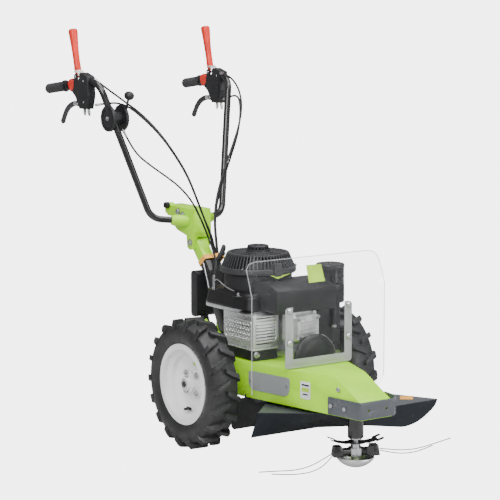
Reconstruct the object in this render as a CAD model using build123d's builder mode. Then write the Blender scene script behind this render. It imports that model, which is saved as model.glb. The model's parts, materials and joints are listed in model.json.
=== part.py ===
from build123d import *
from math import cos, radians, sin, tan
import os

# Walk-behind brush mower with two driven wheels and a nylon-line head.
# Millimetres, +Z up, the ground at Z = 0 and the nose towards -Y.
# Every piece is drawn with the middle of the wheel axle over X = Y = 0 and is moved as it is kept,
# so that the middle of the whole machine's footprint comes over the origin.

os.makedirs("parts", exist_ok=True)

# ---------------------------------------------------------------- driving dimensions
axle_shift = (-24.5, -164.66)   # middle of the axle, from the middle of the machine's footprint
wheel_radius = 230.0
wheel_x = 300.0          # middle of each tyre
tyre_width = 112.0
rim_radius = 143.0
lug_count = 18
lug_height = 15.0

sheet = 3.0              # deck sheet
deck_bottom = 186.0
deck_top = 312.0
deck_half_rear = 174.0
deck_half_front = 67.0
deck_side_y = -74.0      # where the sides start to draw in
nose_y = -654.0

head_y = -542.0          # line head spindle
head_turn = -22.0        # how far the head is turned from square
crank_y = 32.0           # engine crankshaft
belt_z = 266.0           # middle of the belt
engine_pulley_r = 40.0
head_pulley_r = 30.0

shield_y = -335.0
shield_half = 285.0
shield_fold = 579.0
tube_d = 25.0
tube_wall = 2.0
grip_d = 38.0
running_gap = 0.05       # radial clearance of a shaft in its bearing
clear = 0.4              # clearance between moving neighbours

# handlebar points on the left side: corner, arm, bend and grip end
bar_mid = (0, 430, 733)
bar_corner = (159, 498, 749)
bar_bend = (293, 645, 1259)
bar_end = (313, 984, 1213)
pivot_y = 417.0
pivot_z = 659.0


def level(z):
    """Horizontal plane at height z: local x to the left side, local y to the rear."""
    return Plane(origin=(0, 0, z))


def level_at(x, y, z):
    return Plane(origin=(x, y, z))


def beside(x, y=0.0, z=0.0):
    """Upright plane facing +X: local x to the rear, local y up."""
    return Plane(origin=(x, y, z), x_dir=(0, 1, 0), z_dir=(1, 0, 0))


def ahead(y, x=0.0, z=0.0):
    """Upright plane facing the nose: local x to the left side, local y up."""
    return Plane(origin=(x, y, z), x_dir=(1, 0, 0), z_dir=(0, -1, 0))


def axis_z(x, y):
    return Axis((x, y, 0), (0, 0, 1))


def keep(builder, name):
    """Label a finished piece, move it into the machine's frame and write it."""
    piece = builder.part.moved(Location((*axle_shift, 0)))
    piece.label = name
    export_step(piece, f"parts/{name}.step")


def round_bar(start, end, radius):
    """Cylinder between two points, joined to the part being built."""
    run = end - start
    with BuildSketch(Plane(origin=start, z_dir=run)) as section:
        Circle(radius)
    extrude(section.sketch, amount=run.length)


def bolt(plane, radius, height, length):
    """Hex bolt head on the given plane with its shank behind it."""
    with BuildSketch(plane) as head:
        RegularPolygon(radius, 6)
    extrude(head.sketch, amount=height)
    with BuildSketch(plane) as shank:
        Circle(radius * 0.52)
    extrude(shank.sketch, amount=-length)


def bend_radii(points, share=0.45):
    """Arc radius at each inner corner: 0.45 of the shorter run over the tangent of half the turn."""
    radii = []
    for a, b, c in zip(points, points[1:], points[2:]):
        half = radians((b - a).get_angle(c - b) / 2)
        radii.append(share * min((b - a).length, (c - b).length) / tan(half))
    return radii


def tube(points, radius, radii, mode=Mode.ADD):
    """Round section swept along straight runs joined by arcs."""
    with BuildLine() as route:
        FilletPolyline(*points, radius=radii)
    with BuildSketch(Plane(origin=points[0], z_dir=points[1] - points[0])) as section:
        Circle(radius)
    sweep(section.sketch, path=route.wires()[0], mode=mode)


# ---------------------------------------------------------------- deck
def deck_half(y):
    """Half width of the deck's side sheet at distance y from the axle."""
    share = (y - deck_side_y) / (nose_y - deck_side_y)
    return deck_half_rear + share * (deck_half_front - deck_half_rear)


slope_y = -509.0
nose_top = 243.0
facet_y = -345.0
rear_y = 300.0
bumper_low, bumper_high, bumper_thick = 189.0, 248.0, 5.0
guard_z = 172.0
guard_t = 2.5
shield_t = 3.0
arm_x, arm_width, bracket_t = 127.0, 30.0, 4.0

side_run = Vector(deck_half_rear - deck_half_front, nose_y - deck_side_y, 0).normalized()
side_out = Vector(side_run.Y, -side_run.X, 0)


def on_right_side(y, z, out=0.0):
    """Plane on the right side sheet: local x forward along it, local y up."""
    spot = Vector(-deck_half(y), y, z) + side_out * out
    return Plane(origin=spot, x_dir=side_run, z_dir=side_out)


# ---------------------------------------------------------------- bolts of the chassis
def bumper_spot(y, z):
    return on_right_side(y, z, 1.2 + bumper_thick)


with BuildPart() as chassis_bolts:
    for spot in (bumper_spot(-530, 219), bumper_spot(-590, 217)):
        bolt(spot, 8, 5, 8)
    for spot in (on_right_side(-152, 253, 3.1), on_right_side(-324, 253, 3.1)):
        bolt(spot, 5, 2.5, 5)
    for x in (-arm_x, arm_x):
        for z in (515, 404):
            bolt(ahead(shield_y - shield_t, x, z), 7, 5, 12)
    for x in (-60, 60):
        bolt(level_at(x, shield_y + 34, deck_top + 4.1), 7, 5, 8)
    for x, y in ((-70, -300), (70, -300), (-50, -400), (50, -400)):
        bolt(level_at(x, y, guard_z), 6.5, 5, 4)
keep(chassis_bolts, "chassis_bolts")

# ---------------------------------------------------------------- deck sheet
with BuildPart() as deck_shell:
    with BuildSketch(level(deck_bottom)):
        with BuildLine():
            Polyline((0, nose_y), (deck_half_front, nose_y), (deck_half_rear, deck_side_y),
                     (deck_half_rear, 110), (105, 185), (105, rear_y), (0, rear_y))
            mirror(about=Plane.YZ)
        make_face()
    extrude(amount=deck_top - deck_bottom)
    slope_run = Vector(0, nose_y, nose_top) - Vector(0, slope_y, deck_top)
    split(bisect_by=Plane(origin=Vector(0, slope_y, deck_top), x_dir=(1, 0, 0),
                          z_dir=Vector(1, 0, 0).cross(slope_run) * -1), keep=Keep.BOTTOM)
    for hand in (1, -1):
        fold = Vector(hand * deck_half(facet_y), facet_y, deck_top)
        crown = Vector(hand * 66, slope_y, deck_top)
        tip = Vector(hand * 63, nose_y + 2, nose_top)
        normal = (crown - fold).cross(tip - fold)
        if normal.Z < 0:
            normal = normal * -1
        split(bisect_by=Plane(origin=fold, z_dir=normal), keep=Keep.BOTTOM)
    offset(amount=-sheet, openings=deck_shell.faces().sort_by(Axis.Z)[0])
    # crankshaft hole, axle slots and the plate that carries the line head
    with BuildSketch(level_at(0, crank_y, deck_top - 6)):
        Circle(52)
    extrude(amount=12, mode=Mode.SUBTRACT)
    with BuildSketch(beside(-200, 0, 0)):
        with Locations((0, 230)):
            Circle(27)
        with Locations((0, 205)):
            Rectangle(54, 50)
    extrude(amount=400, mode=Mode.SUBTRACT)
    with BuildSketch(level(deck_bottom)):
        with BuildLine():
            Polyline((deck_half(-620) - 1, -620), (deck_half(-450) - 1, -450),
                     (-deck_half(-450) + 1, -450), (-deck_half(-620) + 1, -620), close=True)
        make_face()
    extrude(amount=4)
    with BuildSketch(level_at(0, head_y, deck_bottom - 1)):
        Circle(27.4)
    extrude(amount=8, mode=Mode.SUBTRACT)
    # ears of the rear frame beside the column foot
    for hand in (1, -1):
        with BuildSketch(beside(hand * 31 - 2)):
            with BuildLine():
                Polyline((194, deck_top - 1), (345, deck_top - 1), (345, 372), (322, 384), (300, 372))
                ThreePointArc((300, 372), (272, 344), (236, 350))
                Polyline((236, 350), (194, 330), (194, deck_top - 1))
            make_face()
        extrude(amount=4)
    with BuildSketch(level(deck_top - 3)):
        with Locations((0, 322)):
            Rectangle(66, 46)
    extrude(amount=3)
    add(chassis_bolts.part, mode=Mode.SUBTRACT)
keep(deck_shell, "deck_shell")

# ---------------------------------------------------------------- service cover on the right side sheet
with BuildPart() as side_cover:
    with BuildSketch(on_right_side(-240, 250, 0.1)) as cover_face:
        Rectangle(196, 66)
        fillet(cover_face.vertices().group_by(Axis.Y)[0], 30)
        fillet(cover_face.vertices().group_by(Axis.Y)[-1], 9)
    extrude(amount=3)
    add(chassis_bolts.part, mode=Mode.SUBTRACT)
keep(side_cover, "side_cover")

# ---------------------------------------------------------------- nose bumper band
with BuildPart() as front_bumper:
    with BuildSketch(level(bumper_low)):
        with BuildLine():
            out = 1.2 + bumper_thick / 2
            FilletPolyline((-deck_half(-515) - out, -515), (-deck_half_front - out, nose_y - out),
                           (deck_half_front + out, nose_y - out), (102, -628), (110, -560), radius=6)
        trace(line_width=bumper_thick)
    extrude(amount=bumper_high - bumper_low)
    with BuildSketch(ahead(nose_y + 20)):
        with Locations((-38, 218), (38, 218)):
            Circle(4.5)
    extrude(amount=60, mode=Mode.SUBTRACT)
    rear_end = front_bumper.faces().sort_by(Axis.X)[0]
    fillet(rear_end.edges().sort_by(Axis.Z)[-1], 1.5)
    add(chassis_bolts.part, mode=Mode.SUBTRACT)
keep(front_bumper, "front_bumper")

# ---------------------------------------------------------------- debris deflector behind the head
left_corner = (-241, -317, guard_z)


def guard_section(top, bottom):
    """Thin upright slice of the skirt between a top and a bottom point."""
    back = Vector(0, guard_t, 0)
    corners = [Vector(*top), Vector(*bottom), Vector(*bottom) + back, Vector(*top) + back]
    return Face(Wire.make_polygon(corners, close=True))


with BuildPart() as debris_deflector:
    with BuildSketch(level(guard_z - guard_t)):
        with BuildLine():
            Polyline((-236, -306), (-66, -434), (52, -489), (405, -486), (316, -318), (120, -190),
                     (-120, -190), close=True)
        make_face()
    extrude(amount=guard_t)
    wing = [guard_section((-236, -306, guard_z), (-262, -300, 86)),
            guard_section((-60, -438, guard_z), (22, -300, 84)),
            guard_section((52, -490, guard_z), (84, -490, 119))]
    loft(sections=wing[:2], ruled=True)
    loft(sections=wing[1:], ruled=True)
    with BuildSketch(ahead(-490 + guard_t)):
        with BuildLine():
            Polyline((52, guard_z), (84, 119), (243, 92))
            Spline((243, 92), (330, 108), (380, 138), (405, guard_z), tangents=((1, -0.05), (0.25, 1)))
            Line((405, guard_z), (52, guard_z))
        make_face()
    extrude(amount=guard_t)
    add(chassis_bolts.part, mode=Mode.SUBTRACT)
keep(debris_deflector, "debris_deflector")

# ---------------------------------------------------------------- clear front shield and its bracket
with BuildPart() as engine_shield:
    with BuildSketch(ahead(shield_y)) as shield_lower:
        with BuildLine():
            Polyline((-shield_half, 216), (shield_half, 216), (shield_half, shield_fold),
                     (-shield_half, shield_fold), close=True)
        make_face()
        fillet(shield_lower.vertices().group_by(Axis.Y)[0], 28)
        # notch that lets the deck's nose through
        with Locations((0, 268)):
            Rectangle(276, 110, mode=Mode.SUBTRACT)
    extrude(amount=shield_t)
    lean = Vector(0, -291.5, 691.6) - Vector(0, shield_y, shield_fold)
    fold = Vector(0, shield_y, shield_fold)
    upper = Plane(origin=fold, x_dir=(1, 0, 0), z_dir=Vector(1, 0, 0).cross(lean))
    with BuildSketch(upper) as shield_upper:
        with Locations((0, lean.length / 2 - 1)):
            Rectangle(2 * shield_half, lean.length + 2)
        fillet(shield_upper.vertices().group_by(Axis.Z)[-1], 40)
    extrude(amount=shield_t)
    add(chassis_bolts.part, mode=Mode.SUBTRACT)
keep(engine_shield, "engine_shield")

with BuildPart() as shield_bracket:
    with BuildSketch(ahead(shield_y + 0.2 + bracket_t)) as bracket_face:
        with Locations((0, 421)):
            Rectangle(2 * arm_x + arm_width, 212)
        fillet(bracket_face.vertices().group_by(Axis.Y)[0], 12)
        fillet(bracket_face.vertices().group_by(Axis.Y)[-1], 14)
        with Locations((0, 442)):
            Rectangle(2 * arm_x - arm_width, 192, mode=Mode.SUBTRACT)
        # bolt holes
        with Locations((-arm_x, 515), (arm_x, 515), (-arm_x, 404), (arm_x, 404)):
            Circle(4.2, mode=Mode.SUBTRACT)
    extrude(amount=bracket_t)
    with BuildSketch(level(deck_top + 0.1)):
        with Locations((0, shield_y + 26)):
            Rectangle(180, 44)
    extrude(amount=4)
    add(chassis_bolts.part, mode=Mode.SUBTRACT)
keep(shield_bracket, "shield_bracket")

# ---------------------------------------------------------------- engine
cylinder_z = 425.0
cylinder_run = Vector(31, -272, 0).normalized()


def along_cylinder(distance, z=cylinder_z):
    """Plane across the cylinder at a distance from the crankshaft: local x sideways, local y up."""
    return Plane(origin=Vector(0, crank_y, z) + cylinder_run * distance,
                 x_dir=(-cylinder_run.Y, cylinder_run.X, 0), z_dir=cylinder_run)


with BuildPart() as crankcase:
    with BuildSketch(level_at(0, crank_y, deck_top + 0.1)) as foot:
        Circle(150)
        with Locations((0, -60)):
            Rectangle(200, 190)
        fillet(foot.vertices(), 18)
    extrude(amount=22)
    with BuildSketch(level_at(0, crank_y, deck_top + 20)):
        Circle(92)
    extrude(amount=150)
    with BuildSketch(level_at(0, crank_y + 32, 470)) as flange:
        Rectangle(290, 236)
        fillet(flange.vertices(), 45)
    extrude(amount=12)
    with BuildSketch(along_cylinder(40)):
        Rectangle(96, 92)
    extrude(amount=55)
    with BuildSketch(level_at(0, crank_y, deck_top - 10)):
        Circle(15.1)
    extrude(amount=200, mode=Mode.SUBTRACT)
    # filler neck for the oil
    with BuildSketch(level_at(118, 60, deck_top + 20)):
        Circle(17)
    extrude(amount=75)
    with BuildSketch(level_at(118, 60, deck_top + 60)):
        Circle(11)
    extrude(amount=50, mode=Mode.SUBTRACT)
keep(crankcase, "crankcase")

with BuildPart() as oil_cap:
    with BuildSketch(level_at(118, 60, deck_top + 95.4)):
        Circle(19)
        with PolarLocations(19, 8):
            Circle(3, mode=Mode.SUBTRACT)
    extrude(amount=9)
    with BuildSketch(level_at(118, 60, deck_top + 95.4)):
        Circle(10.6)
    extrude(amount=-18)
keep(oil_cap, "oil_cap")

fin_count = 9
with BuildPart() as cylinder_barrel:
    with BuildSketch(along_cylinder(95.2)):
        Circle(40)
    extrude(amount=95)
    for i in range(fin_count):
        with BuildSketch(along_cylinder(97 + 10 * i)) as fin:
            Rectangle(100, 104)
            fillet(fin.vertices(), 12)
        extrude(amount=2.6)
    with BuildSketch(along_cylinder(187)) as head_face:
        Rectangle(104, 104)
        fillet(head_face.vertices(), 10)
    extrude(amount=20)
    for i in range(3):
        with BuildSketch(along_cylinder(209 + 8 * i)) as fin:
            Rectangle(112, 108)
            fillet(fin.vertices(), 10)
        extrude(amount=3)
    with BuildSketch(along_cylinder(206)):
        Rectangle(84, 84)
    extrude(amount=24)
    # spark plug on the left side of the head
    plug_spot = Plane(origin=along_cylinder(200).origin + Vector(50, 6, 12), z_dir=(0.97, 0.11, 0.2))
    with BuildSketch(plug_spot):
        RegularPolygon(10, 6)
    extrude(amount=10)
    with BuildSketch(plug_spot):
        Circle(7)
    extrude(amount=34)
keep(cylinder_barrel, "cylinder_barrel")

with BuildPart() as rocker_cover:
    with BuildSketch(along_cylinder(230.2)) as cover_rim:
        Rectangle(122, 112)
        fillet(cover_rim.vertices(), 16)
    extrude(amount=7)
    with BuildSketch(along_cylinder(237)) as cover_body:
        Rectangle(106, 98)
        fillet(cover_body.vertices(), 16)
    extrude(amount=28, taper=6)
    with BuildSketch(along_cylinder(262)) as cover_pad:
        with Locations((4, 6)):
            Rectangle(70, 52)
        fillet(cover_pad.vertices(), 10)
    extrude(amount=7)
    with BuildSketch(along_cylinder(230.2)):
        with Locations((-50, -47), (50, -47), (-50, 47), (50, 47)):
            Circle(9)
    extrude(amount=13)
    for side_step in (34, 54):
        start = along_cylinder(250).from_local_coords(Vector(side_step, -34, 0))
        round_bar(start, start + Vector(0, 0, -24), 7)
keep(rocker_cover, "rocker_cover")

guard_right, guard_inner, guard_front, guard_rear = -150, -42, -152, 30
guard_low, guard_shoulder = 358, 472
with BuildPart() as muffler_guard:
    with BuildSketch(level(guard_low)):
        with BuildLine():
            Polyline((guard_right, guard_rear), (guard_right, guard_front), (guard_inner, guard_front),
                     (guard_inner, guard_front + 2), (guard_right + 2, guard_front + 2),
                     (guard_right + 2, guard_rear), close=True)
        make_face()
    extrude(amount=guard_shoulder - 4 - guard_low)
    # louvres on the front face
    with BuildSketch(ahead(guard_front + 5)):
        for i in range(9):
            with Locations(((guard_right + guard_inner) / 2, guard_low + 14 + 11.3 * i)):
                SlotOverall(84, 4.4)
    extrude(amount=10, mode=Mode.SUBTRACT)
    # round field of holes on the side face
    with BuildSketch(beside(guard_right - 2)):
        with Locations((-62, 412)):
            with HexLocations(7, 11, 11):
                Circle(2.3)
    extrude(amount=6, mode=Mode.SUBTRACT)
keep(muffler_guard, "muffler_guard")

with BuildPart() as muffler_body:
    with BuildSketch(level(372)) as muffler_plan:
        with Locations((-106, -106)):
            Rectangle(72, 72)
        fillet(muffler_plan.vertices(), 18)
    extrude(amount=88)
    fillet(muffler_body.faces().sort_by(Axis.Z)[-1].edges(), 10)
    start = Vector(-72, -120, 430)
    round_bar(start, start + Vector(18, 0, 0), 12)
keep(muffler_body, "muffler_body")

fan_base_z = 482.0
with BuildPart() as blower_housing:
    with BuildSketch(level_at(0, crank_y, fan_base_z + 0.2)):
        Circle(122)
        with Locations((37, -168)):
            Rectangle(256, 156)
    extrude(amount=98)
    # the duct over the cylinder slopes down to its front edge and is open below
    duct_top = Plane(origin=Vector(37, -215, 562), x_dir=(1, 0, 0), z_dir=(0, -0.3, 0.95))
    split(bisect_by=duct_top, keep=Keep.BOTTOM)
    offset(amount=-3, openings=blower_housing.faces().sort_by(Axis.Z)[0])
    with BuildSketch(level_at(0, crank_y, fan_base_z + 40)):
        Circle(122)
    extrude(amount=78)
    with BuildSketch(level_at(0, crank_y, fan_base_z)):
        Circle(112)
    extrude(amount=130, mode=Mode.SUBTRACT)
keep(blower_housing, "blower_housing")

shroud_r = 137.0
with BuildPart() as fan_shroud:
    with BuildSketch(ahead(crank_y)):
        with BuildLine():
            Polyline((0, 665), (103, 665), (112, 660), (shroud_r - 4, 622), (shroud_r, 616),
                     (shroud_r, 600.4), (shroud_r - 3, 600.4), (shroud_r - 3, 615), (shroud_r - 7, 621),
                     (109, 657), (101, 662), (0, 662), close=True)
        make_face()
    revolve(axis=axis_z(0, crank_y))
    with BuildSketch(level_at(0, crank_y, 664)):
        Circle(41)
    extrude(amount=28, taper=12)
    fillet(fan_shroud.faces().sort_by(Axis.Z)[-1].edges(), 5)
    # air slots round the cone and in the top
    with BuildSketch(level_at(0, crank_y, 624)):
        with PolarLocations(118, 54):
            SlotOverall(38, 5)
    extrude(amount=60, mode=Mode.SUBTRACT)
    with BuildSketch(level_at(0, crank_y, 660)):
        with PolarLocations(66, 24):
            SlotOverall(36, 5)
    extrude(amount=40, mode=Mode.SUBTRACT)
    with BuildSketch(ahead(crank_y - shroud_r + 3)):
        with Locations((0, 612)):
            Rectangle(24, 34)
    extrude(amount=6)
keep(fan_shroud, "fan_shroud")

with BuildPart() as starter_grip:
    centre = Vector(-50, 190, 648)
    with BuildSketch(Plane(origin=centre - Vector(0, 0, 33))) as grip_plan:
        Ellipse(11, 15)
    extrude(amount=66)
    fillet(starter_grip.faces().sort_by(Axis.Z)[-1].edges(), 5)
    fillet(starter_grip.faces().sort_by(Axis.Z)[0].edges(), 5)
keep(starter_grip, "starter_grip")

with BuildPart() as flywheel_fan:
    with BuildSketch(level_at(0, crank_y, fan_base_z + 16)):
        Circle(88)
        Circle(15, mode=Mode.SUBTRACT)
    extrude(amount=14)
    with BuildSketch(level_at(0, crank_y, fan_base_z + 29)):
        with PolarLocations(72, 16):
            Rectangle(32, 4, rotation=35)
    extrude(amount=34)
keep(flywheel_fan, "flywheel_fan")

pulley_low, pulley_high = belt_z - 8, belt_z + 8
with BuildPart() as crankshaft:
    with BuildSketch(level_at(0, crank_y, pulley_low)):
        Circle(15)
    extrude(amount=540 - pulley_low)
    with BuildSketch(ahead(crank_y)):
        with BuildLine():
            r = engine_pulley_r
            Polyline((10, pulley_low), (r + 5, pulley_low), (r + 5, pulley_low + 2),
                     (r - 4, pulley_low + 2),
                     (r - 4, pulley_high - 2), (r + 5, pulley_high - 2), (r + 5, pulley_high),
                     (10, pulley_high), close=True)
        make_face()
    revolve(axis=axis_z(0, crank_y))
keep(crankshaft, "crankshaft")

with BuildPart() as air_filter:
    with BuildSketch(level(486)) as filter_plan:
        with Locations((217, -110)):
            Circle(50)
    extrude(amount=127)
    fillet(air_filter.faces().sort_by(Axis.Z)[-1].edges(), 6)
    with BuildSketch(level(500)):
        with Locations((190, -172)):
            Rectangle(48, 50)
    extrude(amount=60)
keep(air_filter, "air_filter")

with BuildPart() as carburettor:
    with BuildSketch(level(360)) as carb_plan:
        with Locations((152, -110)):
            Rectangle(76, 110)
        fillet(carb_plan.vertices(), 12)
    extrude(amount=120)
    with BuildSketch(level(338)) as cover_plan:
        with Locations((100, -205)):
            Rectangle(120, 60)
        fillet(cover_plan.vertices(), 18)
    extrude(amount=20)
keep(carburettor, "carburettor")

with BuildPart() as fuel_tank:
    with BuildSketch(level(486)) as tank_plan:
        with Locations((95, 190)):
            Rectangle(150, 60)
        fillet(tank_plan.vertices(), 24)
    extrude(amount=100)
    fillet(fuel_tank.faces().sort_by(Axis.Z)[-1].edges(), 12)
    with BuildSketch(level_at(135, 190, 580)):
        Circle(22)
    extrude(amount=14)
    with BuildSketch(level_at(135, 190, 560)):
        Circle(16)
    extrude(amount=50, mode=Mode.SUBTRACT)
keep(fuel_tank, "fuel_tank")

with BuildPart() as fuel_cap:
    with BuildSketch(level_at(135, 190, 594.4)):
        Circle(26)
        with PolarLocations(27, 12):
            Circle(3, mode=Mode.SUBTRACT)
    extrude(amount=16)
    with BuildSketch(level_at(135, 190, 594.4)):
        Circle(15.5)
    extrude(amount=-10)
keep(fuel_cap, "fuel_cap")

# ---------------------------------------------------------------- gearbox on the axle
shaft_r = 12.5
with BuildPart() as gearbox_housing:
    with BuildSketch(beside(-132)):
        with Locations((0, wheel_radius)):
            Circle(21)
    extrude(amount=264)
    with BuildSketch(level(178)) as case_plan:
        with Locations((0, 35)):
            Rectangle(104, 150)
        fillet(case_plan.vertices(), 22)
    extrude(amount=74)
    fillet(gearbox_housing.faces().sort_by(Axis.Z)[0].edges(), 8)
    for x in (-66, 66):
        with BuildSketch(level_at(x, 96, 205)):
            Circle(12)
        extrude(amount=deck_top - sheet - 205)
        round_bar(Vector(0, 96, 217), Vector(x, 96, 217), 10)
    with BuildSketch(beside(-140)):
        with Locations((0, wheel_radius)):
            Circle(shaft_r + running_gap)
    extrude(amount=90, mode=Mode.SUBTRACT)
    with BuildSketch(beside(50)):
        with Locations((0, wheel_radius)):
            Circle(shaft_r + running_gap)
    extrude(amount=90, mode=Mode.SUBTRACT)
keep(gearbox_housing, "gearbox_housing")

# ---------------------------------------------------------------- wheels
bead_r = 127.0
rim_half = 48.0


def wheel_plane(hand):
    """Plane through the wheel's axis: local x outwards from the machine, local y up from the axle."""
    return Plane(origin=(hand * wheel_x, 0, wheel_radius), x_dir=(hand, 0, 0), z_dir=(0, -hand, 0))


def make_tyre(hand):
    spin = Axis((hand * wheel_x, 0, wheel_radius), (1, 0, 0))
    half = tyre_width / 2
    crown = wheel_radius - lug_height
    with BuildPart() as lug:
        with BuildSketch(Plane(origin=(hand * wheel_x, 0, wheel_radius * 2 - 36), x_dir=(hand, 0, 0),
                               z_dir=(0, 0, 1))):
            with BuildLine():
                Polyline((-5, -9), (-5, 7), (16, 20), (half, 38), (half, 20), (20, 3), close=True)
            make_face()
        extrude(amount=44)
        with BuildSketch(wheel_plane(hand)):
            with BuildLine():
                Polyline((-8, crown - 16), (-8, wheel_radius), (44, wheel_radius - 1),
                         (half, wheel_radius - 20),
                         (half, crown - 24), (44, crown - 16), close=True)
            make_face()
        revolve(axis=spin, mode=Mode.INTERSECT)
    with BuildPart() as tyre:
        with BuildSketch(wheel_plane(hand)):
            with BuildLine():
                Line((44.2, bead_r + 0.2), (44.2, rim_radius + 1))
                ThreePointArc((44.2, rim_radius + 1), (half - 0.5, 182), (47, crown - 8))
                ThreePointArc((47, crown - 8), (0, crown), (-47, crown - 8))
                ThreePointArc((-47, crown - 8), (0.5 - half, 182), (-44.2, rim_radius + 1))
                Line((-44.2, rim_radius + 1), (-44.2, bead_r + 0.2))
                Line((-44.2, bead_r + 0.2), (-36, bead_r + 0.2))
                ThreePointArc((-36, bead_r + 0.2), (-46, 176), (-38, crown - 16))
                ThreePointArc((-38, crown - 16), (0, crown - 9), (38, crown - 16))
                ThreePointArc((38, crown - 16), (46, 176), (36, bead_r + 0.2))
                Line((36, bead_r + 0.2), (44.2, bead_r + 0.2))
            make_face()
        revolve(axis=spin)
        step = 360 / lug_count
        across = lug.part.mirror(Plane(origin=(hand * wheel_x, 0, 0), z_dir=(1, 0, 0)))
        for i in range(lug_count):
            add(lug.part.rotate(spin, i * step))
            add(across.rotate(spin, (i + 0.5) * step))
    return tyre


def make_rim(hand):
    spin = Axis((hand * wheel_x, 0, wheel_radius), (1, 0, 0))
    with BuildPart() as rim:
        with BuildSketch(wheel_plane(hand)):
            with BuildLine():
                Polyline((rim_half, rim_radius), (44.4, rim_radius), (44.4, bead_r), (30, bead_r),
                         (20, 112),
                         (-20, 112), (-30, bead_r), (-44.4, bead_r), (-44.4, rim_radius),
                         (-rim_half, rim_radius),
                         (-rim_half, bead_r - 4), (-31, bead_r - 4), (-21, 108), (-1, 108), (-10, 84),
                         (-10, 33),
                         (-6, 33), (-6, 82), (4, 108), (21, 108), (31, bead_r - 4),
                         (rim_half, bead_r - 4),
                         close=True)
            make_face()
        revolve(axis=spin)
        # slot for the valve
        rim_face = Plane(origin=(hand * wheel_x, 0, wheel_radius), x_dir=(0, -hand, 0), z_dir=(hand, 0, 0))
        with BuildSketch(rim_face):
            with Locations((0, -66)):
                SlotOverall(30, 11)
        extrude(amount=30, both=True, mode=Mode.SUBTRACT)
    return rim


def make_hub(hand):
    out = Plane(origin=(hand * wheel_x, 0, wheel_radius), x_dir=(0, hand, 0), z_dir=(hand, 0, 0))
    with BuildPart() as hub:
        with BuildSketch(out.offset(-5.9)):
            Circle(54)
        extrude(amount=8)
        with BuildSketch(out.offset(-60)):
            Circle(32)
        extrude(amount=84)
        with BuildSketch(out.offset(24)):
            RegularPolygon(22, 6)
        extrude(amount=14)
        with BuildSketch(out.offset(2)):
            with PolarLocations(44, 5):
                RegularPolygon(7, 6)
        extrude(amount=6)
        with BuildSketch(out.offset(-248)):
            Circle(shaft_r)
        extrude(amount=190)
        # drive pin with its ring
        with BuildSketch(Plane(origin=(hand * (wheel_x + 12), 0, wheel_radius), z_dir=(0, 0, 1))):
            Circle(5)
        extrude(amount=44)
    return hub


for hand, name in ((1, "left"), (-1, "right")):
    keep(make_tyre(hand), f"tyre_{name}")
    keep(make_rim(hand), f"rim_{name}")
    keep(make_hub(hand), f"hub_{name}")

# ---------------------------------------------------------------- head spindle, its housing and the belt
spindle_r = 10.0
housing_low, housing_high = 101.0, 198.0
bearing_r, bearing_t = 21.0, 12.0
with BuildPart() as spindle_housing:
    with BuildSketch(level_at(0, head_y, housing_low)):
        Circle(27)
        Circle(bearing_r, mode=Mode.SUBTRACT)
    extrude(amount=housing_high - housing_low)
    with BuildSketch(level_at(0, head_y, deck_bottom + 4.1)):
        Circle(50)
        Circle(27, mode=Mode.SUBTRACT)
    extrude(amount=8)
    # two bearings inside
    for z in (housing_low + 3, housing_high - 3 - bearing_t):
        with BuildSketch(level_at(0, head_y, z)):
            Circle(bearing_r)
            Circle(spindle_r + running_gap, mode=Mode.SUBTRACT)
        extrude(amount=bearing_t)
keep(spindle_housing, "spindle_housing")

head_centre = Vector(0, head_y, 0)
head_x = Vector(cos(radians(head_turn)), sin(radians(head_turn)), 0)
head_plane = Plane(origin=head_centre, x_dir=head_x, z_dir=(0, 0, 1))
head_side = Plane(origin=head_centre, x_dir=head_plane.x_dir, z_dir=-head_plane.y_dir)

with BuildPart() as spindle_shaft:
    with BuildSketch(level_at(0, head_y, 52)):
        Circle(spindle_r)
    extrude(amount=pulley_high + 2 - 52)
    with BuildSketch(level_at(0, head_y, 14)):
        Circle(8)
    extrude(amount=40)
    with BuildSketch(ahead(head_y)):
        with BuildLine():
            r = head_pulley_r
            Polyline((5, pulley_low), (r + 5, pulley_low), (r + 5, pulley_low + 2),
                     (r - 4, pulley_low + 2),
                     (r - 4, pulley_high - 2), (r + 5, pulley_high - 2), (r + 5, pulley_high),
                     (5, pulley_high), close=True)
        make_face()
    revolve(axis=axis_z(0, head_y))
    with BuildSketch(level_at(0, head_y, 96)):
        Circle(22)
    extrude(amount=3.6)
keep(spindle_shaft, "spindle_shaft")

with BuildPart() as anti_wrap_plate:
    with BuildSketch(head_side):
        with BuildLine():
            Polyline((-92, 99), (-60, 87), (-40, 83), (40, 83), (60, 87), (92, 99), (92, 101.5),
                     (60, 89.5),
                     (40, 85.5), (-40, 85.5), (-60, 89.5), (-92, 101.5), close=True)
        make_face()
    extrude(amount=32, both=True)
    with BuildSketch(head_plane.offset(70)):
        Rectangle(210, 70)
        RectangleRounded(150, 40, 12, mode=Mode.SUBTRACT)
        for corner in ((-88, -28), (-88, 28), (88, -28), (88, 28)):
            with Locations(corner):
                Rectangle(44, 26, mode=Mode.SUBTRACT)
        Circle(34, mode=Mode.SUBTRACT)
    extrude(amount=50, mode=Mode.SUBTRACT)
    with BuildSketch(head_plane.offset(70)):
        Circle(spindle_r)
    extrude(amount=50, mode=Mode.SUBTRACT)
keep(anti_wrap_plate, "anti_wrap_plate")

with BuildPart() as steel_cup:
    with BuildSketch(head_plane.offset(36)):
        Circle(26)
        Circle(spindle_r, mode=Mode.SUBTRACT)
    extrude(amount=30)
    with BuildSketch(head_plane.offset(66)):
        Circle(17)
        Circle(spindle_r, mode=Mode.SUBTRACT)
    extrude(amount=16.8)
keep(steel_cup, "steel_cup")

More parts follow.
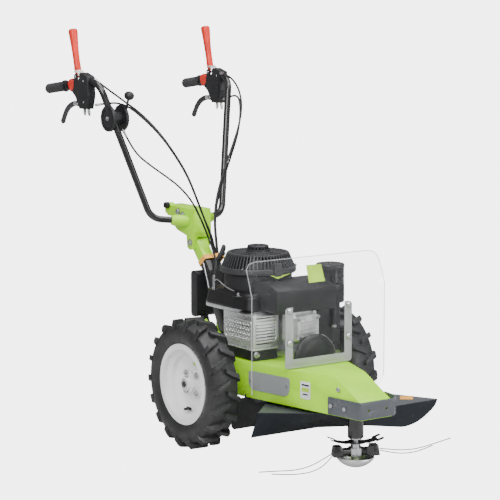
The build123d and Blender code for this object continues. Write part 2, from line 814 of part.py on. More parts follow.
with BuildPart() as line_holder:
    with BuildSketch(head_plane.offset(40)):
        Rectangle(116, 34)
        Circle(26, mode=Mode.SUBTRACT)
    extrude(amount=22)
    for hand in (1, -1):
        with BuildSketch(head_plane.offset(38)):
            with Locations((hand * 64, 0)):
                Rectangle(34, 44)
        extrude(amount=36, taper=7)
    # clamp plate of the left block
    with BuildSketch(head_side.offset(20)):
        with Locations((46, 55)):
            Rectangle(24, 34)
    extrude(amount=4)
keep(line_holder, "line_holder")

glide_flat_r = 15.0
with BuildPart() as glide_cup:
    with BuildSketch(ahead(head_y)):
        with BuildLine():
            Line((0, 0), (glide_flat_r, 0))
            ThreePointArc((glide_flat_r, 0), (45, 11), (65, 31))
            Polyline((65, 31), (64, 35), (61, 35), (61.5, 31.5))
            ThreePointArc((61.5, 31.5), (42, 14), (15, 4))
            Polyline((15, 4), (15, 34), (8.05, 34), (8.05, 10), (0, 10), (0, 0))
        make_face()
    revolve(axis=axis_z(0, head_y))
keep(glide_cup, "glide_cup")

# nylon lines: right pair reaching back, left pair reaching forward
line_r = 1.75
line_routes = {
    "cutting_line_1": [(-78, -512, 47), (-104, -503, 33), (-135, -494, 17), (-172, -487, 7),
                       (-213, -476, 2.2),
                       (-262, -452, 2.2), (-320, -428, 2.2)],
    "cutting_line_2": [(-79, -516, 41), (-100, -517, 22), (-140, -524, 8), (-185, -530, 2.2),
                       (-230, -525, 2.2),
                       (-270, -504, 2.2), (-300, -473, 2.2)],
    "cutting_line_3": [(79, -574, 57), (114, -592, 52), (157, -613, 48), (200, -634, 52), (246, -657, 66),
                       (302, -683, 84)],
    "cutting_line_4": [(79, -575, 51), (114, -596, 42), (151, -613, 37), (188, -630, 40), (220, -645, 51),
                       (244, -657, 61)],
}
for name, route in line_routes.items():
    points = [Vector(*spot) for spot in route]
    radii = bend_radii(points)
    with BuildPart() as cutting_line:
        tube(points, line_r, radii)
    run = sum((b - a).length for a, b in zip(points, points[1:]))
    print(name, "radii", [round(r) for r in radii], "length", round(run))
    keep(cutting_line, name)

# drive belt round both pulleys
belt_thick, belt_gap = 8.0, 0.3
with BuildPart() as drive_belt:
    with BuildSketch(level(belt_z - 5)):
        rear_arc = engine_pulley_r - 4 + belt_gap
        front_arc = head_pulley_r - 4 + belt_gap
        with Locations((0, crank_y)):
            Circle(rear_arc + belt_thick)
        with Locations((0, head_y)):
            Circle(front_arc + belt_thick)
        make_hull()
    extrude(amount=10)
    with BuildSketch(level(belt_z - 20)):
        with Locations((0, crank_y)):
            Circle(rear_arc)
        with Locations((0, head_y)):
            Circle(front_arc)
        make_hull()
    extrude(amount=40, mode=Mode.SUBTRACT)
keep(drive_belt, "drive_belt")

# ---------------------------------------------------------------- belt tensioner
idler_r, idler_x, idler_y = 22.0, 63.5, -220.0
arm_pivot_x, arm_pivot_y = 96.0, -292.0
with BuildPart() as idler_arm:
    with BuildSketch(level(pulley_low - 8)):
        with BuildLine():
            Line((idler_x, idler_y), (arm_pivot_x, arm_pivot_y))
        trace(line_width=22)
        with Locations((idler_x, idler_y), (arm_pivot_x, arm_pivot_y)):
            Circle(14)
    extrude(amount=4)
    with BuildSketch(level_at(idler_x, idler_y, pulley_low - 6)):
        Circle(6)
    extrude(amount=23)
    with BuildSketch(level_at(arm_pivot_x, arm_pivot_y, pulley_low - 6)):
        Circle(9)
    extrude(amount=deck_top - sheet - clear - pulley_low + 6)
keep(idler_arm, "idler_arm")

with BuildPart() as idler_pulley:
    with BuildSketch(level_at(idler_x, idler_y, pulley_low - 2)):
        Circle(idler_r)
        Circle(6 + running_gap, mode=Mode.SUBTRACT)
    extrude(amount=19)
keep(idler_pulley, "idler_pulley")

# ---------------------------------------------------------------- column, clip and rear cover
post_half = 22.0
post_wall = 4.0
with BuildPart() as column_post:
    with BuildSketch(beside(-post_half)) as post_side:
        with BuildLine():
            Polyline((186, deck_top + 0.2), (232, deck_top + 0.2), (360, 560), (430, 640), (434, 668),
                     (404, 676), (338, 600), (312, 566), close=True)
        make_face()
        fillet(post_side.vertices().group_by(Axis.Z)[-1], 6)
    extrude(amount=2 * post_half)
    # the column is a box section, open at its foot
    with BuildSketch(beside(post_wall - post_half)):
        with BuildLine():
            Polyline((191.5, deck_top), (226.5, deck_top), (353, 557), (344, 566), (317, 563), close=True)
        make_face()
    extrude(amount=2 * (post_half - post_wall), mode=Mode.SUBTRACT)
    with BuildSketch(beside(-post_half)):
        with Locations((pivot_y, pivot_z)):
            Circle(22)
    extrude(amount=2 * post_half)
    with BuildSketch(beside(-40)):
        with Locations((pivot_y, pivot_z)):
            Circle(6 + running_gap)
    extrude(amount=80, mode=Mode.SUBTRACT)
keep(column_post, "column_post")

with BuildPart() as rear_cover:
    with BuildSketch(beside(-42)) as cover_side:
        with BuildLine():
            Polyline((366, 384), (408, 384), (408, 556), (366, 556), close=True)
        make_face()
        fillet(cover_side.vertices(), 15)
    extrude(amount=84)
    with BuildSketch(level(deck_top + 0.1)):
        with Locations((0, 322)):
            Rectangle(50, 20)
        with Locations((0, 350)):
            Rectangle(50, 60)
    extrude(amount=5)
    with BuildSketch(beside(-12)):
        with BuildLine():
            Polyline((340, deck_top + 2), (376, deck_top + 2), (392, 390), (372, 390), close=True)
        make_face()
    extrude(amount=24)
keep(rear_cover, "rear_cover")

# ---------------------------------------------------------------- head bracket of the handlebar
bracket_half = 37.0
bar_points = [Vector(*bar_end), Vector(*bar_bend), Vector(*bar_corner), Vector(*bar_mid)]
bar_points += [Vector(-spot.X, spot.Y, spot.Z) for spot in reversed(bar_points[:-1])]
bar_radii = [65, 60, 40, 60, 65]

with BuildPart() as head_bracket:
    with BuildSketch(beside(-bracket_half)) as bracket_side:
        with BuildLine():
            Polyline((392, 785), (592, 785), (592, 758), (570, 745), (536, 745), (530, 712), (508, 697),
                     (444, 682), (440, 640), (424, 630), (400, 634), (388, 700), close=True)
        make_face()
        fillet(bracket_side.vertices(), 3)
    extrude(amount=2 * bracket_half)
    # slot for the column's tongue
    with BuildSketch(beside(-post_half - clear)):
        with Locations((pivot_y, pivot_z)):
            Circle(33)
        with BuildLine():
            Polyline((pivot_y - 33, 600), (pivot_y + 33, 600), (pivot_y + 33, pivot_z),
                     (pivot_y - 33, pivot_z), close=True)
        make_face()
    extrude(amount=2 * (post_half + clear), mode=Mode.SUBTRACT)
    # recess under the top plate, between the cheeks
    with BuildSketch(beside(-24)):
        with BuildLine():
            Polyline((470, 779), (584, 779), (584, 764), (566, 752), (528, 752), (522, 718), (470, 705),
                     close=True)
        make_face()
    extrude(amount=48, mode=Mode.SUBTRACT)
    tube(bar_points, tube_d / 2, bar_radii, mode=Mode.SUBTRACT)
    # pivot bolt and clamp bolts
    with BuildSketch(beside(-bracket_half)):
        with Locations((pivot_y, pivot_z)):
            Circle(6)
    extrude(amount=2 * bracket_half)
    for y, z in ((pivot_y, pivot_z), (467, 757), (499, 767)):
        with BuildSketch(beside(-bracket_half, y, z)):
            RegularPolygon(8.5, 6)
        extrude(amount=-6)
        with BuildSketch(beside(bracket_half, y, z)):
            RegularPolygon(8.5, 6)
        extrude(amount=6)
    # boss for the height lock at the rear
    with BuildSketch(beside(-bracket_half, 567, 785)):
        Circle(10)
    extrude(amount=20)
    with BuildSketch(beside(-bracket_half, 567, 785)):
        Circle(4 + running_gap)
    extrude(amount=17, mode=Mode.SUBTRACT)
keep(head_bracket, "head_bracket")

with BuildPart() as lock_knob:
    with BuildSketch(beside(-bracket_half - clear, 567, 785)):
        Circle(12)
        with PolarLocations(13, 6):
            Circle(3, mode=Mode.SUBTRACT)
    extrude(amount=-16)
    with BuildSketch(beside(-bracket_half - 1, 567, 785)):
        Circle(4)
    extrude(amount=17)
keep(lock_knob, "lock_knob")

with BuildPart() as handlebar_tube:
    tube(bar_points, tube_d / 2, bar_radii)
    tube(bar_points, tube_d / 2 - tube_wall, bar_radii, mode=Mode.SUBTRACT)
keep(handlebar_tube, "handlebar_tube")

clip_z = 596.0
with BuildPart() as cable_clip:
    clip_plane = Plane(origin=Vector(19.7, 362, clip_z), x_dir=(1, 0, 0), z_dir=(0, 0.656, 0.755))
    with BuildSketch(clip_plane):
        RectangleRounded(88, 56, 6)
        RectangleRounded(84, 52, 4, mode=Mode.SUBTRACT)
    extrude(amount=9, both=True)
keep(cable_clip, "cable_clip")

# ---------------------------------------------------------------- grips, control bodies and levers
def side_points(hand):
    end, bend = Vector(*bar_end), Vector(*bar_bend)
    return Vector(hand * end.X, end.Y, end.Z), Vector(hand * bend.X, bend.Y, bend.Z)


def make_grip(hand):
    end, bend = side_points(hand)
    run = (end - bend).normalized()
    start = end - run * 122
    with BuildPart() as grip:
        with BuildSketch(Plane(origin=start, z_dir=run)):
            Circle(grip_d / 2)
        extrude(amount=126)
        fillet(grip.faces().sort_by(Axis.Y)[-1].edges(), 9)
        with BuildSketch(Plane(origin=start, z_dir=run)):
            Circle(tube_d / 2)
        extrude(amount=122, mode=Mode.SUBTRACT)
    return grip


cluster_x = 299.0
lever_y, lever_z = 775.0, 1268.0         # red lever's pivot
brake_y, brake_z = 762.0, 1168.0         # black lever's pivot


def make_cluster(hand):
    with BuildPart() as cluster:
        with BuildSketch(beside(hand * cluster_x - 17)) as cluster_side:
            with BuildLine():
                Polyline((690, 1272), (742, 1286), (752, 1250), (800, 1250), (806, 1214), (778, 1194),
                         (748, 1150),
                         (700, 1150), (684, 1200), close=True)
            make_face()
            fillet(cluster_side.vertices(), 5)
        extrude(amount=34)
        # slot the black lever swings in
        with BuildSketch(beside(hand * cluster_x - 7 - clear)):
            with Locations((brake_y, brake_z)):
                Circle(12)
            with BuildLine():
                Polyline((brake_y, brake_z + 12), (brake_y + 50, brake_z + 34),
                         (brake_y + 50, brake_z - 40),
                         (brake_y - 6, brake_z - 24), close=True)
            make_face()
        extrude(amount=14 + 2 * clear, mode=Mode.SUBTRACT)
        # latch block behind the body
        with BuildSketch(beside(hand * cluster_x - 13)) as latch_block:
            with BuildLine():
                Polyline((lever_y + 14, lever_z - 12), (lever_y + 42, lever_z - 10),
                         (lever_y + 44, lever_z - 44),
                         (lever_y + 26, lever_z - 58), close=True)
            make_face()
            fillet(latch_block.vertices(), 3)
        extrude(amount=26)
        # fork cheeks that hold the red lever
        for step in (-17, 12):
            with BuildSketch(beside(hand * cluster_x + step)):
                with Locations((lever_y, lever_z)):
                    Circle(11)
                with Locations((lever_y, lever_z - 14)):
                    Rectangle(22, 28)
            extrude(amount=5)
        with BuildSketch(beside(hand * cluster_x - 17)):
            with Locations((lever_y, lever_z)):
                Circle(4)
        extrude(amount=34)
        # ears that hold the black lever
        for step in (-17, 12):
            with BuildSketch(beside(hand * cluster_x + step)):
                with Locations((brake_y, brake_z)):
                    Circle(10)
                with Locations((brake_y - 16, brake_z + 4)):
                    Rectangle(32, 20)
            extrude(amount=5)
        with BuildSketch(beside(hand * cluster_x - 17)):
            with Locations((brake_y, brake_z)):
                Circle(4)
        extrude(amount=34)
        bar_run = bar_points if hand > 0 else list(reversed(bar_points))
        tube(bar_run, tube_d / 2, bar_radii, mode=Mode.SUBTRACT)
    return cluster


def make_red_lever(hand):
    with BuildPart() as lever:
        with BuildSketch(beside(hand * cluster_x - 11.5)) as lever_side:
            with BuildLine():
                Polyline((lever_y - 8, lever_z), (lever_y + 10, lever_z), (lever_y + 24, lever_z + 100),
                         (lever_y + 44, lever_z + 178), (lever_y + 10, lever_z + 181),
                         (lever_y - 4, lever_z + 90),
                         close=True)
            make_face()
            fillet(lever_side.vertices().group_by(Axis.Z)[-1], 6)
            with Locations((lever_y, lever_z)):
                Circle(9.6)
        extrude(amount=23)
        with BuildSketch(beside(hand * cluster_x - 14)):
            with Locations((lever_y, lever_z)):
                Circle(4 + running_gap)
        extrude(amount=28, mode=Mode.SUBTRACT)
    return lever


def make_black_lever(hand):
    with BuildPart() as lever:
        with BuildSketch(beside(hand * cluster_x - 7)):
            with BuildLine():
                ThreePointArc((brake_y + 4, brake_z + 8), (brake_y + 92, brake_z - 20),
                              (brake_y + 148, brake_z - 76))
                Line((brake_y + 148, brake_z - 76), (brake_y + 134, brake_z - 86))
                ThreePointArc((brake_y + 134, brake_z - 86), (brake_y + 82, brake_z - 33),
                              (brake_y - 2, brake_z - 9))
                Line((brake_y - 2, brake_z - 9), (brake_y + 4, brake_z + 8))
            make_face()
            with Locations((brake_y, brake_z)):
                Circle(9)
            with Locations((brake_y + 141, brake_z - 81)):
                Circle(9.5)
        extrude(amount=14)
        with BuildSketch(beside(hand * cluster_x - 20)):
            with Locations((brake_y, brake_z)):
                Circle(4 + running_gap)
        extrude(amount=40, mode=Mode.SUBTRACT)
    return lever


for hand, name in ((1, "left"), (-1, "right")):
    keep(make_grip(hand), f"grip_{name}")
    keep(make_cluster(hand), f"control_{name}")
    keep(make_red_lever(hand), f"safety_lever_{name}")
    keep(make_black_lever(hand), f"drive_lever_{name}")

# throttle control on the right arm
drum_x, drum_y, drum_z = -252.0, 612.0, 1119.0
with BuildPart() as throttle_drum:
    for x in (drum_x - 40, drum_x + 32):
        with BuildSketch(beside(x, drum_y, drum_z)):
            Circle(49)
        extrude(amount=8)
    with BuildSketch(beside(drum_x - 36, drum_y, drum_z)):
        Circle(24)
    extrude(amount=72)
    fillet(throttle_drum.edges().filter_by(GeomType.CIRCLE).filter_by(lambda edge: edge.radius > 40), 2)
    tube(bar_points, tube_d / 2, bar_radii, mode=Mode.SUBTRACT)
    with BuildSketch(beside(drum_x + 36, drum_y, drum_z)):
        Circle(5)
    extrude(amount=14)
keep(throttle_drum, "throttle_drum")

knob_y, knob_z = 577.0, 1203.0
with BuildPart() as throttle_lever:
    with BuildSketch(beside(drum_x + 40 + clear, drum_y, drum_z)):
        Circle(13)
    extrude(amount=7)
    lever_foot = Vector(drum_x + 44, drum_y, drum_z)
    lever_tip = Vector(drum_x + 46, knob_y, knob_z)
    round_bar(lever_foot, lever_tip, 4)
    with BuildSketch(beside(drum_x + 46, knob_y, knob_z)):
        Circle(24)
    extrude(amount=11, both=True)
    fillet(throttle_lever.edges().filter_by(GeomType.CIRCLE).filter_by(lambda edge: edge.radius > 20), 8)
    with BuildSketch(beside(drum_x + 30, drum_y, drum_z)):
        Circle(5 + running_gap)
    extrude(amount=30, mode=Mode.SUBTRACT)
keep(throttle_lever, "throttle_lever")

# ---------------------------------------------------------------- control cables
# each runs from a control down to the head bracket, then on beside the column into the deck
cable_r = 3.0
upper_routes = [
    [(-282, 686, 1262), (-262, 640, 1230), (-245, 584, 1201), (-235, 540, 1179), (-222, 470, 1149),
     (-185, 402, 1084), (-150, 352, 1007), (-110, 326, 928), (-66, 325, 830), (-28, 336, 753),
     (10, 352, 690),
     (22, 353, 640)],
    [(-282, 680, 1166), (-250, 636, 1175), (-236, 590, 1176), (-228, 530, 1164), (-214, 464, 1130),
     (-177, 400, 1068), (-142, 352, 992), (-102, 331, 914), (-58, 333, 818), (-20, 342, 744),
     (20, 358, 684),
     (31, 358, 640)],
    [(-230, 574, 1075), (-214, 556, 1030), (-196, 528, 985), (-166, 486, 948), (-135, 432, 912),
     (-106, 384, 876),
     (-76, 352, 828), (-44, 349, 772), (-15, 352, 716), (4, 354, 676), (12, 343, 640)],
    [(282, 684, 1267), (272, 622, 1262), (258, 556, 1243), (246, 502, 1206), (234, 470, 1150),
     (212, 458, 1082),
     (182, 455, 1012), (148, 450, 942), (114, 440, 876), (86, 428, 808), (66, 410, 744), (54, 388, 690),
     (48, 370, 640)],
    [(296, 686, 1168), (295, 654, 1174), (291, 622, 1181), (276, 572, 1187), (256, 520, 1178),
     (240, 488, 1130),
     (218, 472, 1056), (188, 466, 984), (154, 459, 916), (120, 448, 850), (92, 434, 788), (72, 414, 728),
     (62, 394, 690), (57, 378, 640)],
]
deck_in = deck_top + 1.5
lower_routes = [
    [(25, 353, 626), (30, 352, 600), (34, 334, 545), (37, 306, 482), (39, 282, 420), (39, 266, 365),
     (38, 258, deck_in)],
    [(34, 358, 626), (39, 358, 600), (45, 338, 545), (49, 312, 482), (51, 288, 420), (51, 273, 365),
     (50, 266, deck_in)],
    [(13, 335, 626), (14, 324, 602), (2, 304, 578), (-28, 272, 560), (-62, 226, 554), (-98, 176, 558),
     (-128, 124, 570)],
    [(47, 367, 626), (46, 361, 600), (55, 346, 545), (61, 320, 482), (63, 296, 420), (63, 281, 365),
     (62, 274, deck_in)],
    [(56, 374, 626), (55, 367, 600), (65, 350, 545), (73, 324, 482), (77, 300, 420), (77, 288, 365),
     (76, 282, deck_in)],
]


def make_cables(routes, name):
    with BuildPart() as cables:
        for number, route in enumerate(routes):
            points = [Vector(*spot) for spot in route]
            radii = bend_radii(points)
            tube(points, cable_r, radii)
            run = sum((b - a).length for a, b in zip(points, points[1:]))
            print(name, number, "radii", [round(r) for r in radii], "length", round(run))
    return cables


keep(make_cables(upper_routes, "cables_upper"), "cables_upper")
keep(make_cables(lower_routes, "cables_lower"), "cables_lower")
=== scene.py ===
import json
import math

import bpy
import bmesh
from mathutils import Matrix, Vector


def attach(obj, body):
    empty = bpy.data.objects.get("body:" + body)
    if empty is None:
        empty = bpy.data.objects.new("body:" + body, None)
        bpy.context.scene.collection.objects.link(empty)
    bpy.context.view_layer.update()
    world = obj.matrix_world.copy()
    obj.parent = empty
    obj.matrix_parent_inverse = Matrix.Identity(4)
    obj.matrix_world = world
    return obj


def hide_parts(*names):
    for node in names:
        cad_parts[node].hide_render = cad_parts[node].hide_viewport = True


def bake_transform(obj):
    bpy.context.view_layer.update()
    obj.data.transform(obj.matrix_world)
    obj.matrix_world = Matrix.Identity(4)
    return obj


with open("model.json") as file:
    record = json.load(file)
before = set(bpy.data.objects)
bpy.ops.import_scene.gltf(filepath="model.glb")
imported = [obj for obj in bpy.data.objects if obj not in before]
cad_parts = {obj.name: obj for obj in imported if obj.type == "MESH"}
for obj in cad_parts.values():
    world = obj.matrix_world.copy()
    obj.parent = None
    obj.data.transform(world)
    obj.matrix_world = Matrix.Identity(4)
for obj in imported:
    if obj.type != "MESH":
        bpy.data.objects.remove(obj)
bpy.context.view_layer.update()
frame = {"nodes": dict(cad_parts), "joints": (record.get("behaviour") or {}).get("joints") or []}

# ---------------------------------------------------------------- the frame: axle, joints, places
joints = {joint["name"]: joint for joint in frame["joints"]}
left_wheel = Vector(joints["wheel_left_spin"]["pos_m"])
right_wheel = Vector(joints["wheel_right_spin"]["pos_m"])
AXLE = Vector(((left_wheel.x + right_wheel.x) / 2, left_wheel.y, 0))
X, Y, Z = Vector((1, 0, 0)), Vector((0, 1, 0)), Vector((0, 0, 1))


def at(x, y, z):
    """Point given from the spot on the ground under the middle of the axle."""
    return AXLE + Vector((x, y, z))


def pivot(joint):
    """Place of a joint in the frame."""
    return Vector(joints[joint]["pos_m"])


# ---------------------------------------------------------------- camera
camera_data = bpy.data.cameras.new("camera")
camera = bpy.data.objects.new("camera", camera_data)
bpy.context.collection.objects.link(camera)
camera.location = at(-4.0263, -5.6818, 1.6817)
camera.rotation_euler = Vector((0.56678, 0.81139, -0.14285)).to_track_quat("-Z", "Y").to_euler()
camera_data.lens = 142.0
camera_data.sensor_width = 36.0
camera_data.clip_end = 60
bpy.context.scene.camera = camera


# ---------------------------------------------------------------- materials
class Shader:
    """Node tree of one material, with a few helpers."""

    def __init__(self, name):
        self.material = bpy.data.materials.new(name)
        self.material.use_nodes = True
        self.tree = self.material.node_tree
        self.bsdf = self.tree.nodes["Principled BSDF"]
        self.place = self.node("ShaderNodeTexCoord").outputs["Object"]

    def node(self, kind, **settings):
        made = self.tree.nodes.new(kind)
        for key, value in settings.items():
            setattr(made, key, value)
        return made

    def link(self, start, end):
        self.tree.links.new(start, end)

    def stretched(self, scale):
        mapping = self.node("ShaderNodeMapping")
        mapping.inputs["Scale"].default_value = scale
        self.link(self.place, mapping.inputs["Vector"])
        return mapping.outputs["Vector"]

    def noise(self, scale, detail=4.0, roughness=0.55, where=None):
        made = self.node("ShaderNodeTexNoise")
        made.inputs["Scale"].default_value = scale
        made.inputs["Detail"].default_value = detail
        made.inputs["Roughness"].default_value = roughness
        self.link(where or self.place, made.inputs["Vector"])
        return made.outputs["Fac"]

    def voronoi(self, scale, feature="F1"):
        made = self.node("ShaderNodeTexVoronoi", feature=feature)
        made.inputs["Scale"].default_value = scale
        self.link(self.place, made.inputs["Vector"])
        return made.outputs["Distance"]

    def span(self, value, low, high, to_low, to_high):
        made = self.node("ShaderNodeMapRange")
        made.inputs["From Min"].default_value = low
        made.inputs["From Max"].default_value = high
        made.inputs["To Min"].default_value = to_low
        made.inputs["To Max"].default_value = to_high
        self.link(value, made.inputs["Value"])
        return made.outputs["Result"]

    def mix(self, factor, first, second):
        made = self.node("ShaderNodeMix", data_type="RGBA")
        self.link(factor, made.inputs["Factor"])
        for colour, socket in ((first, made.inputs["A"]), (second, made.inputs["B"])):
            if isinstance(colour, bpy.types.NodeSocket):
                self.link(colour, socket)
            else:
                socket.default_value = (*colour, 1)
        return made.outputs["Result"]

    def bump(self, height, strength, distance, after=None):
        made = self.node("ShaderNodeBump")
        made.inputs["Strength"].default_value = strength
        made.inputs["Distance"].default_value = distance
        self.link(height, made.inputs["Height"])
        if after:
            self.link(after, made.inputs["Normal"])
        return made.outputs["Normal"]

    def set(self, **sockets):
        """Sockets by name with spaces as underscores: a link or a plain value."""
        for key, value in sockets.items():
            socket = self.bsdf.inputs[key.replace("_", " ")]
            if isinstance(value, bpy.types.NodeSocket):
                self.link(value, socket)
            else:
                socket.default_value = value
        return self.material


def tinted(colour, factor):
    return tuple(min(1.0, c * factor) for c in colour)


def paint(name, colour, rough=0.32, coat=0.3, dust=(0.45, 0.43, 0.4)):
    """Powder coat: orange peel, faint cloudiness, fine scuffs and patches of dust."""
    s = Shader(name)
    clouds = s.mix(s.span(s.noise(7), 0.35, 0.65, 0, 1), tinted(colour, 0.9), tinted(colour, 1.07))
    scratches = s.span(s.noise(60, 6, 0.7, s.stretched((1, 6, 2))), 0.66, 0.74, 0, 0.35)
    scuffed = s.mix(scratches, clouds, tinted(colour, 1.5))
    dusty = s.span(s.noise(30, 5), 0.6, 0.75, 0, 0.22)
    peel = s.bump(s.noise(900, 2), 0.12, 0.0004)
    return s.set(Base_Color=s.mix(dusty, scuffed, dust), Roughness=s.span(s.noise(18), 0.3, 0.7,
                                                                          rough - 0.06, rough + 0.1),
                 Normal=s.bump(s.noise(90, 3), 0.04, 0.001, peel), Coat_Weight=coat, Coat_Roughness=0.12)


def plastic(name, colour, rough=0.5, grain=700, depth=0.25):
    """Moulded plastic with a fine spark-eroded grain and slight handling marks."""
    s = Shader(name)
    base = s.mix(s.span(s.noise(12), 0.35, 0.65, 0, 1), tinted(colour, 0.85), tinted(colour, 1.15))
    marks = s.span(s.noise(45, 6, 0.7), 0.62, 0.78, 0, 0.3)
    worn = s.mix(marks, base, tinted(colour, 1.9))
    skin = s.bump(s.voronoi(grain), depth, 0.0003)
    return s.set(Base_Color=worn, Roughness=s.span(s.noise(25), 0.3, 0.7, rough - 0.1, rough + 0.1),
                 Normal=skin,
                 Specular_IOR_Level=0.36)


def cast_metal(name, colour, rough=0.42, depth=0.5):
    """Sand-cast alloy: pitted skin, cloudy tone, darker in its hollows."""
    s = Shader(name)
    tone = s.mix(s.span(s.noise(22, 6), 0.3, 0.7, 0, 1), tinted(colour, 0.7), tinted(colour, 1.15))
    pits = s.span(s.voronoi(480), 0.0, 0.35, 0.35, 0)
    grains = s.bump(s.noise(650, 4, 0.7), depth, 0.0006)
    return s.set(Base_Color=s.mix(pits, tone, tinted(colour, 0.45)), Metallic=0.9,
                 Normal=s.bump(s.noise(60, 5), 0.15, 0.001, grains),
                 Roughness=s.span(s.noise(35), 0.3, 0.7, rough - 0.1, rough + 0.14))


def brushed(name, colour, rough=0.3, along=(1, 1, 30)):
    """Rolled or turned metal with fine drawn lines and stains."""
    s = Shader(name)
    lines = s.noise(120, 5, 0.7, s.stretched(along))
    tone = s.mix(s.span(lines, 0.3, 0.7, 0, 1), tinted(colour, 0.8), tinted(colour, 1.1))
    stains = s.span(s.noise(14, 5), 0.55, 0.8, 0, 0.4)
    return s.set(Base_Color=s.mix(stains, tone, tinted(colour, 0.55)), Metallic=1.0,
                 Roughness=s.span(lines, 0.2, 0.8, rough - 0.08, rough + 0.14),
                 Normal=s.bump(lines, 0.18, 0.0004))


def rubber(name, colour=(0.022, 0.022, 0.024), rough=0.6):
    """Moulded rubber: matt, slightly bloomed, with a finely pebbled skin."""
    s = Shader(name)
    bloom = s.mix(s.span(s.noise(9, 5), 0.4, 0.75, 0, 1), colour, tinted(colour, 2.2))
    dusty = s.span(s.noise(40, 6, 0.7), 0.6, 0.8, 0, 0.35)
    return s.set(Base_Color=s.mix(dusty, bloom, (0.13, 0.125, 0.12)),
                 Roughness=s.span(s.noise(30), 0.3, 0.7, rough - 0.12, rough + 0.1),
                 Normal=s.bump(s.noise(420, 4), 0.3, 0.0005))


def clear_sheet(name, alpha=0.06, low=(0.12, 0.13, 0.14), high=(0.17, 0.18, 0.19)):
    """Clear polycarbonate with a faint haze and hairline scratches."""
    s = Shader(name)
    haze = s.mix(s.span(s.noise(6), 0.3, 0.7, 0, 1), low, high)
    s.material.surface_render_method = "BLENDED"
    return s.set(Base_Color=haze, Alpha=alpha, Roughness=s.span(s.noise(40, 6), 0.4, 0.8, 0.06, 0.2),
                 Specular_IOR_Level=0.25,
                 Normal=s.bump(s.noise(70, 6, 0.7, s.stretched((1, 1, 9))), 0.04, 0.0003))


def two_tone(name, low, high, height_at, rough=0.35):
    """Paint that changes colour above a plane across the column, so both coats are one piece."""
    s = Shader(name)
    split = s.node("ShaderNodeVectorMath", operation="DOT_PRODUCT")
    s.link(s.place, split.inputs[0])
    split.inputs[1].default_value = (0, 0.656, 0.755)
    above = s.span(split.outputs["Value"], height_at - 0.0006, height_at + 0.0006, 0, 1)
    tone = s.span(s.noise(8), 0.35, 0.65, 0, 1)
    return s.set(Base_Color=s.mix(above, s.mix(tone, tinted(low, 0.85), tinted(low, 1.2)),
                                  s.mix(tone, tinted(high, 0.9), tinted(high, 1.05))),
                 Roughness=s.span(s.noise(18), 0.3, 0.7, rough - 0.06, rough + 0.1),
                 Normal=s.bump(s.noise(900, 2), 0.12, 0.0004),
                 Coat_Weight=0.3, Coat_Roughness=0.12)


def deflector_paint_lit_top_shaded_skirt(name, plate, skirt, height):
    """Dark powder coat with painted light: the flat top of the sheet is painted lighter, as lit from above,
    and its skirt painted near black, as its shade.
    """
    s = Shader(name)
    parts = s.node("ShaderNodeSeparateXYZ")
    s.link(s.place, parts.inputs[0])
    # painted light: the lit-top colour above the given height, the painted shade of the skirt below it
    above = s.span(parts.outputs["Z"], height - 0.0004, height + 0.0004, 0, 1)
    tone = s.span(s.noise(8), 0.35, 0.65, 0, 1)
    both = s.mix(above, s.mix(tone, tinted(skirt, 0.85), tinted(skirt, 1.2)),
                 s.mix(tone, tinted(plate, 0.9), tinted(plate, 1.1)))
    dusty = s.span(s.noise(34, 5), 0.6, 0.75, 0, 0.12)
    return s.set(Base_Color=s.mix(dusty, both, (0.2, 0.2, 0.2)),
                 Roughness=s.span(s.noise(18), 0.3, 0.7, 0.3, 0.46),
                 Normal=s.bump(s.noise(900, 2), 0.12, 0.0004), Specular_IOR_Level=0.25)


